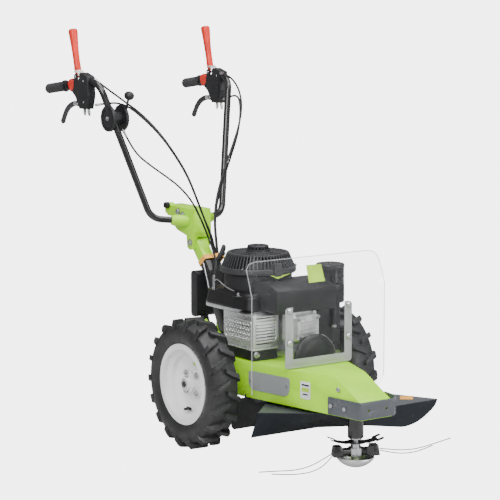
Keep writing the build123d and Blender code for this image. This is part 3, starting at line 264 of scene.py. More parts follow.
GREEN = (0.40, 0.84, 0.0)
BLACK = (0.006, 0.006, 0.007)
M = {
    "green": paint("green_powder_coat", GREEN, 0.4, 0.05, (0.42, 0.62, 0.08)),
    "column": two_tone("column_powder_coat", BLACK, GREEN, 0.5794),
    "black_paint": paint("black_powder_coat", BLACK, 0.28, 0.5, (0.12, 0.12, 0.12)),
    "slate": paint("slate_powder_coat", (0.07, 0.078, 0.09), 0.36, 0.2),
    # the deflector's colours are painted light: a lighter top as lit from above and a near-black skirt as
    # its shade
    "deflector": deflector_paint_lit_top_shaded_skirt("deflector_coat_painted_top_light", (0.075, 0.08, 0.09), (0.006, 0.009, 0.014),
                                 0.1705),
    "skirt": paint("skirt_powder_coat", (0.03, 0.036, 0.05), 0.36, 0.3, (0.12, 0.12, 0.13)),
    "plate_grey": paint("plate_powder_coat", (0.27, 0.28, 0.29), 0.36),
    "silver_paint": paint("bracket_powder_coat", (0.42, 0.43, 0.44), 0.3, 0.4),
    "white": paint("wheel_enamel", (0.9, 0.9, 0.9), 0.3, 0.4, (0.7, 0.69, 0.67)),
    "black": plastic("black_moulding", (0.008, 0.008, 0.009), 0.4),
    "dark": plastic("dark_grey_moulding", (0.017, 0.017, 0.019), 0.42),
    "fan_grey": plastic("fan_cover_moulding", (0.032, 0.032, 0.035), 0.42),
    "gloss": plastic("gloss_moulding", (0.014, 0.014, 0.016), 0.2, 900, 0.06),
    "red": plastic("red_moulding", (0.72, 0.035, 0.02), 0.34, 800, 0.12),
    "orange": plastic("orange_moulding", (0.85, 0.4, 0.07), 0.45),
    "cream": plastic("cream_moulding", (0.72, 0.7, 0.62), 0.5),
    "cast": cast_metal("cast_alloy", (0.76, 0.77, 0.78)),
    "cast_fine": cast_metal("fine_cast_alloy", (0.84, 0.84, 0.85), 0.36, 0.3),
    "sheet": brushed("pressed_sheet", (0.88, 0.88, 0.89), 0.34, (8, 8, 1)),
    "steel": brushed("zinc_steel", (0.5, 0.5, 0.52), 0.32),
    "turned": brushed("turned_steel", (0.55, 0.55, 0.57), 0.24),
    "tyre": rubber("tyre_rubber", (0.013, 0.013, 0.014), 0.5), "rubber": rubber("black_rubber"),
    "nylon": plastic("nylon_line", (0.03, 0.03, 0.034), 0.35, 1500, 0.1),
    "jacket": plastic("cable_jacket", (0.014, 0.014, 0.016), 0.38, 1200, 0.12),
    "clear": clear_sheet("clear_sheet"),
    # lighter, more opaque copy of the clear sheet: a painted highlight for the shield's edge
    "clear_edge_highlight": clear_sheet("clear_sheet_edge_painted_highlight", 0.4, (0.5, 0.52, 0.53), (0.62, 0.63, 0.65)),
    "label": plastic("label_film", (0.78, 0.79, 0.8), 0.4, 1500, 0.05),
    "lime": plastic("lime_film", (0.42, 0.7, 0.03), 0.35, 1500, 0.05),
}


# ---------------------------------------------------------------- shaping helpers
def smooth(obj, degrees=32):
    """Smooth shading with the sharp edges kept."""
    for face in obj.data.polygons:
        face.use_smooth = True
    obj.data.set_sharp_from_angle(angle=math.radians(degrees))


def piece(name, mesh, material, body, bevel=0.0, sub=0):
    """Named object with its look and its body."""
    obj = bpy.data.objects.new(name, mesh)
    bpy.context.collection.objects.link(obj)
    obj.data.materials.append(M[material])
    if bevel:
        edge = obj.modifiers.new("bevel", "BEVEL")
        edge.width, edge.segments, edge.limit_method = bevel, 3, "ANGLE"
        edge.angle_limit = math.radians(35)
        edge.harden_normals = False
    if sub:
        obj.modifiers.new("subdivision", "SUBSURF").render_levels = sub
        obj.modifiers["subdivision"].levels = sub
    smooth(obj, 60 if sub else 32)
    if body:
        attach(obj, body)
    return obj


def mesh_of(bm, name="mesh"):
    bmesh.ops.recalc_face_normals(bm, faces=bm.faces)
    mesh = bpy.data.meshes.new(name)
    bm.to_mesh(mesh)
    bm.free()
    return mesh


def basis(origin, normal, up=Z):
    """Matrix whose local z is normal and whose local y is as close to up as it can be."""
    n = Vector(normal).normalized()
    side = Vector(up).cross(n)
    if side.length < 1e-5:
        side = Vector(Y).cross(n)
    side.normalize()
    rise = n.cross(side)
    turn = Matrix((side, rise, n)).transposed().to_4x4()
    return Matrix.Translation(origin) @ turn


def lathe(profile, origin, axis, steps=96):
    """Closed solid of revolution: profile is (radius, height) pairs along the axis."""
    bm = bmesh.new()
    place = basis(origin, axis)
    rings = []
    for radius, height in profile:
        if radius < 1e-6:
            rings.append([bm.verts.new(place @ Vector((0, 0, height)))])
        else:
            turns = [2 * math.pi * k / steps for k in range(steps)]
            rings.append([bm.verts.new(place @ Vector((radius * math.cos(t), radius * math.sin(t),
                                                       height))) for t in turns])
    for low, high in zip(rings, rings[1:]):
        for k in range(steps):
            n = (k + 1) % steps
            corners = [low[k % len(low)], low[n % len(low)], high[n % len(high)], high[k % len(high)]]
            unique = list(dict.fromkeys(corners))
            if len(unique) > 2:
                bm.faces.new(unique)
    if len(rings[0]) > 1 and rings[0][0].co != rings[-1][0].co:
        for ring in (rings[0], rings[-1]):
            if len(ring) > 1:
                bm.faces.new(ring)
    bmesh.ops.remove_doubles(bm, verts=bm.verts, dist=1e-6)
    return mesh_of(bm)


def prism(outline, place, depth):
    """Solid cut from a flat outline of (x, y) pairs in the plane of a matrix, depth along its z."""
    bm = bmesh.new()
    face = bm.faces.new([bm.verts.new(place @ Vector((x, y, 0))) for x, y in outline])
    grown = bmesh.ops.extrude_face_region(bm, geom=[face])
    push = (place.to_3x3() @ Vector((0, 0, depth)))
    bmesh.ops.translate(bm, vec=push, verts=[v for v in grown["geom"] if isinstance(v, bmesh.types.BMVert)])
    return mesh_of(bm)


def rounded(width, height, radius, steps=6):
    """Outline of a rounded rectangle about its middle."""
    points = []
    for cx, cy, start in ((1, 1, 0), (-1, 1, 90), (-1, -1, 180), (1, -1, 270)):
        for k in range(steps + 1):
            a = math.radians(start + 90 * k / steps)
            points.append((cx * (width / 2 - radius) + radius * math.cos(a),
                           cy * (height / 2 - radius) + radius * math.sin(a)))
    return points


def loft(sections, close=True):
    """Skin over rings with the same number of points."""
    bm = bmesh.new()
    rings = [[bm.verts.new(p) for p in ring] for ring in sections]
    for low, high in zip(rings, rings[1:]):
        for k in range(len(low)):
            n = (k + 1) % len(low)
            bm.faces.new((low[k], low[n], high[n], high[k]))
    if close:
        bm.faces.new(rings[0])
        bm.faces.new(rings[-1])
    return mesh_of(bm)


def smooth_line(points, name="line"):
    """Curve of one open spline with the given control points."""
    curve = bpy.data.curves.new(name, "CURVE")
    curve.dimensions = "3D"
    spline = curve.splines.new("NURBS")
    spline.points.add(len(points) - 1)
    for control, point in zip(spline.points, points):
        control.co = (*point, 1)
    spline.order_u = 3
    spline.use_endpoint_u = True
    spline.resolution_u = 12
    curve.use_fill_caps = True
    return curve


def along(points):
    """Points read from the smooth line through the control points."""
    holder = bpy.data.objects.new("reader", smooth_line(points))
    mesh = bpy.data.meshes.new_from_object(holder)
    line = [v.co.copy() for v in mesh.vertices]
    bpy.data.objects.remove(holder)
    bpy.data.meshes.remove(mesh)
    return line


def tube_mesh(line, radius, steps=16):
    """Round tube of even twist along a dense line; radius is one number or one for each point."""
    radii = radius if isinstance(radius, list) else [radius] * len(line)
    side = None
    rings = []
    for k, point in enumerate(line):
        run = (line[min(k + 1, len(line) - 1)] - line[max(k - 1, 0)]).normalized()
        if side is None:
            side = run.cross(Z if abs(run.z) < 0.9 else X).normalized()
        side = (side - run * side.dot(run)).normalized()
        rise = run.cross(side)
        turns = [2 * math.pi * n / steps for n in range(steps)]
        rings.append([point + (side * math.cos(t) + rise * math.sin(t)) * radii[k] for t in turns])
    return loft(rings)


def hex_bolt(name, spot, normal, radius, body, height=0.005, material="steel"):
    """Bolt head with a chamfered crown standing on its washer."""
    place = basis(spot, normal)
    corner = [(radius * math.cos(math.radians(60 * k)),
               radius * math.sin(math.radians(60 * k))) for k in range(6)]
    head = piece(name, prism(corner, place @ Matrix.Translation((0, 0, 0.0012)), height), material, body,
                 0.0006)
    ring = [(0, 0), (radius * 1.45, 0), (radius * 1.45, 0.0009), (radius * 1.3, 0.0013), (0, 0.0013)]
    washer = piece(name + "_washer", lathe(ring, spot, normal, 40), material, body)
    return head, washer


# ---------------------------------------------------------------- cutting lines, the free cords
LINE_D = 0.0035
line_routes = {
    1: [(-0.078, -0.512, 0.047), (-0.104, -0.503, 0.033), (-0.135, -0.494, 0.017), (-0.172, -0.487, 0.007),
        (-0.213, -0.476, 0.0022), (-0.262, -0.452, 0.0022), (-0.320, -0.428, 0.0022)],
    2: [(-0.079, -0.516, 0.041), (-0.100, -0.517, 0.022), (-0.140, -0.524, 0.008), (-0.185, -0.530, 0.0022),
        (-0.230, -0.525, 0.0022), (-0.270, -0.504, 0.0022), (-0.300, -0.473, 0.0022)],
    3: [(0.079, -0.574, 0.057), (0.114, -0.592, 0.052), (0.157, -0.613, 0.048), (0.200, -0.634, 0.052),
        (0.246, -0.657, 0.066), (0.302, -0.683, 0.084)],
    4: [(0.079, -0.575, 0.051), (0.114, -0.596, 0.042), (0.151, -0.613, 0.037), (0.188, -0.630, 0.040),
        (0.220, -0.645, 0.051), (0.244, -0.657, 0.061)],
}
for number, route in line_routes.items():
    points = [at(*spot) for spot in route]
    curve = smooth_line(points)
    curve.bevel_depth = LINE_D / 2
    curve.bevel_resolution = 3
    line = bpy.data.objects.new(f"trimmer_line_{number}", curve)
    bpy.context.collection.objects.link(line)
    curve.materials.append(M["nylon"])
    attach(line, "head")
    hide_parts(f"cutting_line_{number}")

# ---------------------------------------------------------------- CAD nodes that keep their shape
node_finish = {
    "deck_shell": "green", "side_cover": "plate_grey", "front_bumper": "slate",
               "debris_deflector": "deflector",
    "engine_shield": "clear", "shield_bracket": "silver_paint", "chassis_bolts": "steel",
               "crankcase": "cast",
    "oil_cap": "black", "cylinder_barrel": "cast", "rocker_cover": "cast_fine", "muffler_guard": "sheet",
    "muffler_body": "steel", "blower_housing": "dark", "fan_shroud": "fan_grey", "flywheel_fan": "cast",
    "crankshaft": "turned", "air_filter": "gloss", "carburettor": "black", "fuel_tank": "dark",
               "fuel_cap": "black",
    "gearbox_housing": "cast", "tyre_left": "tyre", "tyre_right": "tyre", "rim_left": "white",
               "rim_right": "white",
    "hub_left": "white", "hub_right": "white", "spindle_housing": "black_paint", "spindle_shaft": "turned",
    "anti_wrap_plate": "black_paint", "steel_cup": "turned", "line_holder": "black_paint",
               "glide_cup": "sheet",
    "drive_belt": "rubber", "idler_arm": "steel", "idler_pulley": "turned", "column_post": "column",
    "rear_cover": "dark", "cable_clip": "orange", "head_bracket": "green", "lock_knob": "black",
    "handlebar_tube": "black_paint", "control_left": "dark", "control_right": "dark",
               "throttle_drum": "dark",
}
bevels = {"deck_shell": 0.0012, "shield_bracket": 0.0008, "front_bumper": 0.001, "head_bracket": 0.0015,
          "crankcase": 0.002, "carburettor": 0.003, "blower_housing": 0.004, "rear_cover": 0.003,
          "control_left": 0.0015, "control_right": 0.0015, "tyre_left": 0.0015, "tyre_right": 0.0015,
          "column_post": 0.002, "line_holder": 0.001, "air_filter": 0.002}
for node, finish in node_finish.items():
    obj = frame["nodes"][node]
    obj.data.materials.clear()
    obj.data.materials.append(M[finish])
    if node in bevels:
        weld = obj.modifiers.new("weld", "WELD")
        weld.merge_threshold = 0.00002
        edge = obj.modifiers.new("bevel", "BEVEL")
        edge.width, edge.segments, edge.limit_method = bevels[node], 2, "ANGLE"
        edge.angle_limit = math.radians(38)
    smooth(obj, 35)

# ---------------------------------------------------------------- light and floor
def area_light(name, place, aim, size, power):
    data = bpy.data.lights.new(name, "AREA")
    data.shape, data.size, data.energy = "SQUARE", size, power
    lamp = bpy.data.objects.new(name, data)
    lamp.location = place
    lamp.rotation_euler = (Vector(aim) - Vector(place)).to_track_quat("-Z", "Y").to_euler()
    bpy.context.collection.objects.link(lamp)


area_light("key", at(-3.2, -2.2, 3.4), at(0, -0.1, 0.4), 2.4, 210)
area_light("top", at(0.4, -0.6, 4.2), at(0, 0, 0.5), 3.4, 200)
area_light("fill", at(1.8, -4.2, 1.7), at(0, -0.2, 0.4), 2.6, 90)


def seen_white(tree, shaded, output, strength, share=1.0):
    """Mixes a white glow into what the camera alone sees, so the backdrop is white but lights nothing."""
    glow = tree.nodes.new("ShaderNodeEmission")
    glow.inputs["Strength"].default_value = strength
    path, both = tree.nodes.new("ShaderNodeLightPath"), tree.nodes.new("ShaderNodeMixShader")
    part = tree.nodes.new("ShaderNodeMath")
    part.operation = "MULTIPLY"
    part.inputs[1].default_value = share
    tree.links.new(path.outputs["Is Camera Ray"], part.inputs[0])
    tree.links.new(part.outputs[0], both.inputs["Fac"])
    tree.links.new(shaded, both.inputs[1])
    tree.links.new(glow.outputs[0], both.inputs[2])
    tree.links.new(both.outputs[0], output)


world = bpy.data.worlds.new("studio")
world.use_nodes = True
sky = world.node_tree.nodes["Background"]
sky.inputs["Color"].default_value = (1, 1, 1, 1)
sky.inputs["Strength"].default_value = 0.36
seen_white(world.node_tree, sky.outputs[0], world.node_tree.nodes["World Output"].inputs[0], 5)
bpy.context.scene.world = world

floor_mesh = bmesh.new()
bmesh.ops.create_grid(floor_mesh, x_segments=1, y_segments=1, size=20)
floor = piece("studio_floor", mesh_of(floor_mesh), "label", None)
floor.location.z = -0.0005
floor_shader = Shader("floor_paint")
floor.data.materials[0] = floor_shader.set(
    Base_Color=floor_shader.mix(floor_shader.noise(2), (0.6, 0.6, 0.6), (0.64, 0.64, 0.64)), Roughness=0.75)
seen_white(floor_shader.tree, floor_shader.bsdf.outputs[0],
           floor_shader.tree.nodes["Material Output"].inputs[0], 5.14, 0.97)

# ---------------------------------------------------------------- control cables
CABLE_R = 0.0038
cable_routes = {
    "cable_right_top": [
        (-0.282, 0.686, 1.262), (-0.262, 0.640, 1.230), (-0.245, 0.584, 1.201), (-0.235, 0.540, 1.179),
        (-0.222, 0.470, 1.149), (-0.185, 0.402, 1.084), (-0.150, 0.352, 1.007), (-0.110, 0.326, 0.928),
        (-0.066, 0.325, 0.830), (-0.028, 0.336, 0.753), (0.010, 0.352, 0.690), (0.022, 0.353, 0.640),
        (0.030, 0.352, 0.600), (0.034, 0.334, 0.545), (0.037, 0.306, 0.482), (0.039, 0.282, 0.420),
        (0.039, 0.266, 0.365), (0.038, 0.258, 0.3135)], "cable_right_low": [
        (-0.282, 0.680, 1.166), (-0.250, 0.636, 1.175), (-0.236, 0.590, 1.176), (-0.228, 0.530, 1.164),
        (-0.214, 0.464, 1.130), (-0.177, 0.400, 1.068), (-0.142, 0.352, 0.992), (-0.102, 0.331, 0.914),
        (-0.058, 0.333, 0.818), (-0.020, 0.342, 0.744), (0.020, 0.358, 0.684), (0.031, 0.358, 0.640),
        (0.039, 0.358, 0.600), (0.045, 0.338, 0.545), (0.049, 0.312, 0.482), (0.051, 0.288, 0.420),
        (0.051, 0.273, 0.365), (0.050, 0.266, 0.3135)], "cable_throttle": [
        (-0.230, 0.574, 1.075), (-0.214, 0.556, 1.030), (-0.196, 0.528, 0.985), (-0.166, 0.486, 0.948),
        (-0.135, 0.432, 0.912), (-0.106, 0.384, 0.876), (-0.076, 0.352, 0.828), (-0.044, 0.349, 0.772),
        (-0.015, 0.352, 0.716), (0.004, 0.354, 0.676), (0.012, 0.343, 0.640), (0.014, 0.324, 0.602),
        (0.002, 0.304, 0.578), (-0.028, 0.272, 0.560), (-0.062, 0.226, 0.554), (-0.098, 0.176, 0.558),
        (-0.128, 0.124, 0.570)], "cable_left_top": [
        (0.282, 0.684, 1.267), (0.272, 0.622, 1.262), (0.258, 0.556, 1.243), (0.246, 0.502, 1.206),
        (0.234, 0.470, 1.150), (0.212, 0.458, 1.082), (0.182, 0.455, 1.012), (0.148, 0.450, 0.942),
        (0.114, 0.440, 0.876), (0.086, 0.428, 0.808), (0.066, 0.410, 0.744), (0.054, 0.388, 0.690),
        (0.048, 0.370, 0.640), (0.046, 0.361, 0.600), (0.055, 0.346, 0.545), (0.061, 0.320, 0.482),
        (0.063, 0.296, 0.420), (0.063, 0.281, 0.365), (0.062, 0.274, 0.3135)], "cable_left_low": [
        (0.296, 0.686, 1.168), (0.295, 0.654, 1.174), (0.291, 0.622, 1.181), (0.276, 0.572, 1.187),
        (0.256, 0.520, 1.178), (0.240, 0.488, 1.130), (0.218, 0.472, 1.056), (0.188, 0.466, 0.984),
        (0.154, 0.459, 0.916), (0.120, 0.448, 0.850), (0.092, 0.434, 0.788), (0.072, 0.414, 0.728),
        (0.062, 0.394, 0.690), (0.057, 0.378, 0.640), (0.055, 0.367, 0.600), (0.065, 0.350, 0.545),
        (0.073, 0.324, 0.482), (0.077, 0.300, 0.420), (0.077, 0.288, 0.365), (0.076, 0.282, 0.3135)],
}
for name, route in cable_routes.items():
    points = [at(*spot) for spot in route]
    line = along(points)
    cable = piece(name, tube_mesh(line, CABLE_R), "jacket", None)
    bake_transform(cable)
    # ferrule and adjuster where the cable leaves its control
    run = (line[1] - line[0]).normalized()
    sleeve = [(0, 0), (0.0042, 0), (0.0055, 0.002), (0.0055, 0.012), (0.0046, 0.014), (0.0046, 0.026),
              (0.0036, 0.032), (0, 0.032)]
    piece(name + "_ferrule", lathe(sleeve, line[0] - run * 0.004, run, 32), "steel", "handlebar")
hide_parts("cables_upper", "cables_lower")


# ---------------------------------------------------------------- bars, grips and levers
BAR_END, BAR_BEND = (0.313, 0.984, 1.213), (0.293, 0.645, 1.259)
CONTROL_HALF = 0.017
GRIP_R = 0.019


def superellipse(centre, side, rise, half_side, half_rise, power=3.0, steps=24):
    ring = []
    for k in range(steps):
        t = 2 * math.pi * k / steps
        c, s = math.cos(t), math.sin(t)
        ring.append(centre + side * (half_side * math.copysign(abs(c) ** (2 / power), c))
                    + rise * (half_rise * math.copysign(abs(s) ** (2 / power), s)))
    return ring


def rubber_grip(hand, side):
    """Hand grip with finger rings, an inner flange and a domed end."""
    end = at(hand * BAR_END[0], BAR_END[1], BAR_END[2])
    run = (end - at(hand * BAR_BEND[0], BAR_BEND[1], BAR_BEND[2])).normalized()
    start = end - run * 0.122
    profile = [(0.0127, 0), (0.022, 0), (0.0225, 0.002), (0.022, 0.005), (GRIP_R - 0.001, 0.007)]
    rings = 14
    for k in range(rings * 6 + 1):
        wave = 0.5 - 0.5 * math.cos(2 * math.pi * k / 6)
        profile.append((GRIP_R - 0.0018 + 0.0018 * wave, 0.009 + 0.098 * k / (rings * 6)))
    profile += [(GRIP_R - 0.001, 0.109), (GRIP_R, 0.111), (GRIP_R, 0.118), (GRIP_R - 0.003, 0.1235),
                (0.011, 0.1262),
                (0.005, 0.127), (0, 0.127)]
    profile.insert(0, (0.0127, 0.004))
    profile.insert(0, (0, 0.004))
    grip = piece(f"hand_grip_{side}", lathe(profile, start, run, 72), "rubber", "handlebar")
    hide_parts(f"grip_{side}")


def safety_lever(hand, side):
    """Tall red lever: forked foot, slim stem and a broad rounded head with a raised rim."""
    foot = pivot(f"safety_{side}_press")
    lean = Vector((0, 0.205, 1)).normalized()
    back = Vector((0, 1, -0.205)).normalized()
    stations = [(0.020, 0.0135, 0.0115, 0.0), (0.034, 0.0125, 0.0110, 0.0), (0.052, 0.0118, 0.0105, 0.001),
                (0.080, 0.0120, 0.0108, 0.002), (0.110, 0.0128, 0.0118, 0.003),
                (0.140, 0.0142, 0.0135, 0.003),
                (0.160, 0.0158, 0.0155, 0.003), (0.173, 0.0164, 0.0165, 0.004),
                (0.180, 0.0150, 0.0155, 0.004),
                (0.1835, 0.0110, 0.0115, 0.004)]
    rings = [superellipse(foot + lean * h + back * (b + 0.004), X, back, w, t) for h, w, t, b in stations]
    lever = piece(f"red_lever_{side}", loft(rings), "red", f"safety_{side}", sub=1)
    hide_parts(f"safety_lever_{side}")
    for step in (-0.0085, 0.0085):
        prong = [superellipse(foot + X * step + lean * h + back * b, X, back, 0.0026, t)
                 for h, t, b in ((-0.0085, 0.004, 0.0), (-0.006, 0.0078, 0.0), (0.0, 0.0092, 0.0),
                                 (0.012, 0.0085, 0.001),
                                 (0.022, 0.0088, 0.003), (0.03, 0.0088, 0.004))]
        piece(f"red_lever_{side}_prong_{'in' if step * hand < 0 else 'out'}", loft(prong), "red",
              f"safety_{side}", sub=1)
    rim = [foot + lean * h + back * (0.0165 - 0.0001 * abs(h - 0.1)) for h in (0.050, 0.090, 0.130, 0.160)]
    piece(f"red_lever_{side}_rib", tube_mesh(along(rim), 0.0022, 10), "red", f"safety_{side}")


def drive_lever(hand, side):
    """Curved lever below the grip: bright root, dark sleeve and a ball end."""
    root = pivot(f"drive_{side}_pull")
    route = [root + Vector((0, y, z)) for y, z in ((0, 0), (0.04, 0.0), (0.085, -0.012), (0.120, -0.040),
                                                   (0.143, -0.083))]
    line = along(route)
    count = len(line)
    widths = [0.0068 + 0.0016 * math.sin(math.pi * k / (count - 1)) for k in range(count)]
    rings = []
    for k, point in enumerate(line):
        run = (line[min(k + 1, count - 1)] - line[max(k - 1, 0)]).normalized()
        share = k / (count - 1)
        swell = 1.0 + 0.16 * max(0.0, share - 0.88) / 0.12
        if k == count - 1:
            swell = 0.55
        rings.append(superellipse(point, X, run.cross(X), widths[k] * 0.96 * swell,
                                  (0.0098 - 0.002 * share) * swell, 2.4, 20))
    cut = int(count * 0.24)
    arm = piece(f"drive_lever_{side}_root", loft(rings[:cut + 2]), "cast_fine", f"drive_{side}")
    sleeve = piece(f"drive_lever_{side}_sleeve",
                   loft([[p + (p - line[min(k + cut, count - 1)]) * 0.12 for p in ring]
                                                      for k, ring in enumerate(rings[cut:])]),
                   "rubber", f"drive_{side}")
    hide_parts(f"drive_lever_{side}")
    eye = [(0.0, -0.0069), (0.0105, -0.0069), (0.0112, -0.006), (0.0112, 0.006), (0.0105, 0.0069),
           (0, 0.0069)]
    piece(f"drive_lever_{side}_eye", lathe(eye, root, X, 48), "cast_fine", f"drive_{side}")
    return sleeve


def control_details(hand, side):
    """What stands on each control body: clamp band, latch block, cover, screws and cable adjusters."""
    foot = pivot(f"safety_{side}_press")
    root = pivot(f"drive_{side}_pull")
    middle = Vector((foot.x, 0, 0))
    bar_run = (at(hand * BAR_END[0], *BAR_END[1:]) - at(hand * BAR_BEND[0], *BAR_BEND[1:])).normalized()
    bar_start = at(hand * BAR_BEND[0], *BAR_BEND[1:])

    def on_bar(y):
        return bar_start + bar_run * ((AXLE.y + y - bar_start.y) / bar_run.y)

    for label, y in (("front", 0.712), ("rear", 0.844)):
        band = [(0.0126, -0.006), (0.0165, -0.006), (0.0172, -0.005), (0.0172, 0.005), (0.0165, 0.006),
                (0.0126, 0.006)]
        piece(f"clamp_band_{side}_{label}", lathe(band + band[:1], on_bar(y), bar_run, 64), "black",
              "handlebar")
    # latch block behind the lever's foot
    block = []
    for x, share in ((-0.0175, 0.86), (-0.0160, 0.95), (-0.0120, 1.0), (0.0120, 1.0), (0.0160, 0.95),
                     (0.0175, 0.86)):
        outline = ((0.013, -0.015), (0.024, -0.0125), (0.040, -0.0085), (0.055, -0.016), (0.060, -0.030),
                   (0.054, -0.046), (0.040, -0.058), (0.022, -0.054), (0.012, -0.040))
        block.append([foot + Vector((x, 0.034 + (y - 0.034) * share, -0.028 + (z + 0.028) * share))
                      for y, z in outline])
    piece(f"latch_block_{side}", loft(block), "red", "handlebar", 0.003)
    # curved cover in front of the lever's foot
    cover = []
    for k in range(13):
        a = math.radians(62 + 8.5 * k)
        cover.append([foot + Vector((s * 0.0165, math.cos(a) * r, math.sin(a) * r - 0.003)) for s, r in
                      ((-1, 0.0235), (-0.8, 0.0275), (0, 0.0285), (0.8, 0.0275), (1, 0.0235),
                       (0.9, 0.0215), (-0.9, 0.0215))])
    piece(f"lever_cover_{side}", loft(cover), "cream" if side == "right" else "cast_fine", "handlebar")
    # screws and pins on both cheeks
    for label, sign in (("in", -hand), ("out", hand)):
        face_x = foot.x + sign * CONTROL_HALF
        for number, (y, z, r) in enumerate(((foot.y, foot.z, 0.006), (root.y, root.z, 0.0058),
                                            (AXLE.y + 0.715, 1.176, 0.0042),
                                            (AXLE.y + 0.715, 1.255, 0.0042))):
            pan = [(0, 0), (r, 0), (r, r * 0.3), (r * 0.72, r * 0.58), (r * 0.4, r * 0.62),
                   (r * 0.36, r * 0.3), (0, r * 0.3)]
            spot = Vector((face_x, y, z))
            piece(f"control_screw_{side}_{label}_{number}", lathe(pan, spot, X * sign, 32), "steel",
                  "handlebar")
    # ribbed housing bulge and barrel adjusters under the body
    for number, (y, tilt_y) in enumerate(((0.708, -0.25), (0.736, -0.05))):
        top = Vector((foot.x, AXLE.y + y, 1.151))
        down = Vector((0, tilt_y, -1)).normalized()
        barrel = [(0, 0), (0.0052, 0), (0.0052, 0.004), (0.0062, 0.005)]
        barrel += [(0.0062 if k % 2 else 0.0056, 0.006 + 0.0016 * k) for k in range(8)]
        barrel += [(0.0048, 0.0195), (0.0036, 0.027), (0, 0.027)]
        piece(f"adjuster_{side}_{number}", lathe(barrel, top, down, 32),
              "cast_fine" if side == "left" else "steel", "handlebar")
    side_plate = basis(Vector((foot.x - hand * (CONTROL_HALF + 0.0004), AXLE.y + 0.728, 1.212)),
                       X * -hand, Z)
    piece(f"control_face_{side}", prism(rounded(0.060, 0.085, 0.012), side_plate, 0.0028), "dark",
          "handlebar", 0.001)
    for k in range(4):
        rib = side_plate @ Matrix.Translation((0, -0.024 + 0.016 * k, 0.0028))
        piece(f"control_rib_{side}_{k}", prism(rounded(0.044, 0.004, 0.0018, 3), rib, 0.0014), "dark",
              "handlebar")


for hand, side in ((1, "left"), (-1, "right")):
    rubber_grip(hand, side)
    safety_lever(hand, side)
    drive_lever(hand, side)
    control_details(hand, side)

# throttle: dished discs with rims, a lever and an oval knob
drum = Vector((AXLE.x - 0.252, pivot("throttle_swing").y, pivot("throttle_swing").z))
for label, sign in (("out", -1), ("in", 1)):
    face = at(-0.2725 if sign < 0 else -0.2120, drum.y - AXLE.y, drum.z)
    dish = [(0, 0.0002), (0.012, 0.0004), (0.014, 0.0022), (0.030, 0.0024), (0.034, 0.0012),
            (0.041, 0.0012),
            (0.0435, 0.0036), (0.0475, 0.0036), (0.0488, 0.002), (0.0492, -0.002), (0.0492, -0.0075),
            (0.0484, -0.0082)]
    dish += [(0.044, -0.0083), (0.044, -0.0079), (0, -0.0079)]
    piece(f"throttle_disc_{label}", lathe(dish, face, X * sign, 96), "dark", "handlebar")
    for k in range(24):
        turn = Matrix.Rotation(2 * math.pi * k / 24, 4, "Z")
        spot = basis(face, X * sign) @ turn @ Matrix.Translation((0.0375, 0, 0.001))
        piece(f"throttle_disc_{label}_rib_{k}", prism(rounded(0.007, 0.0016, 0.0007, 2), spot, 0.0018),
              "dark", "handlebar")
boss = [(0, 0), (0.0245, 0), (0.0245, 0.046), (0, 0.046)]
drum_hub = piece("throttle_hub", lathe(boss, at(-0.2655, drum.y - AXLE.y, drum.z), X, 64), "dark",
                 "handlebar")
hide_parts("throttle_drum")
hex_bolt("throttle_bolt", at(-0.2745, drum.y - AXLE.y, drum.z), -X, 0.0065, "handlebar", 0.005)
lever_foot = pivot("throttle_swing") + X * 0.0040
knob = at(-0.201, 0.577, 1.203)
stem_line = along([lever_foot, lever_foot.lerp(knob, 0.35) + X * 0.002, lever_foot.lerp(knob, 0.7), knob])
piece("throttle_stem", tube_mesh(stem_line, 0.0046, 16), "dark", "throttle")
hub = [(0, -0.006), (0.012, -0.006), (0.0128, -0.005), (0.0128, 0.002), (0.0115, 0.0035), (0, 0.0035)]
piece("throttle_boss", lathe(hub, lever_foot, X, 48), "dark", "throttle")
ball = []
for k in range(25):
    t = math.pi * k / 24 - math.pi / 2
    ball.append((0.0190 * max(0.0, math.cos(t)) ** 0.75, 0.0150 * math.sin(t)))
ball[0], ball[-1] = (0, -0.0150), (0, 0.0150)
knob_rise = Vector((0, -0.42, 1)).normalized()
head = piece("throttle_knob", lathe(ball, knob, knob_rise, 72), "dark", "throttle")
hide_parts("throttle_lever")


# ---------------------------------------------------------------- handlebar bracket and column
for hand, label in ((-1, "right"), (1, "left")):
    for number, (y, z) in enumerate(((0.417, 0.659), (0.467, 0.757), (0.499, 0.767))):
        flange = [(0, 0), (0.0128, 0), (0.0128, 0.0012), (0.0105, 0.0022), (0.0096, 0.0022)]
        dome = flange + [(0.0094, 0.0072), (0.0078, 0.0086), (0.0035, 0.0088), (0, 0.0088)]
        piece(f"bracket_bolt_{label}_{number}", lathe(dome, at(hand * 0.0371, y, z), X * hand, 48),
              "steel", "handlebar")
rod = [at(-0.0275, 0.344, 0.590), at(-0.0280, 0.324, 0.548), at(-0.0285, 0.306, 0.500)]
piece("column_rod", tube_mesh(along(rod), 0.0030, 12), "steel", "chassis")
# green sockets that hold the handlebar tube at the bracket's sides
for hand, label in ((-1, "right"), (1, "left")):
    socket_in = at(hand * 0.030, 0.4428, 0.7360)
    socket_out = at(hand * 0.088, 0.4676, 0.7418)
    run = (socket_out - socket_in).normalized()
    reach_out = (socket_out - socket_in).length
    profile = [(0.0126, 0), (0.0215, 0), (0.0215, reach_out * 0.7), (0.0190, reach_out - 0.002),
               (0.0175, reach_out),
               (0.0126, reach_out), (0.0126, 0)]
    piece(f"bracket_socket_{label}", lathe(profile, socket_in, run, 48), "green", "handlebar")

# ---------------------------------------------------------------- engine
crank_x, crank_y = 0.0, 0.032
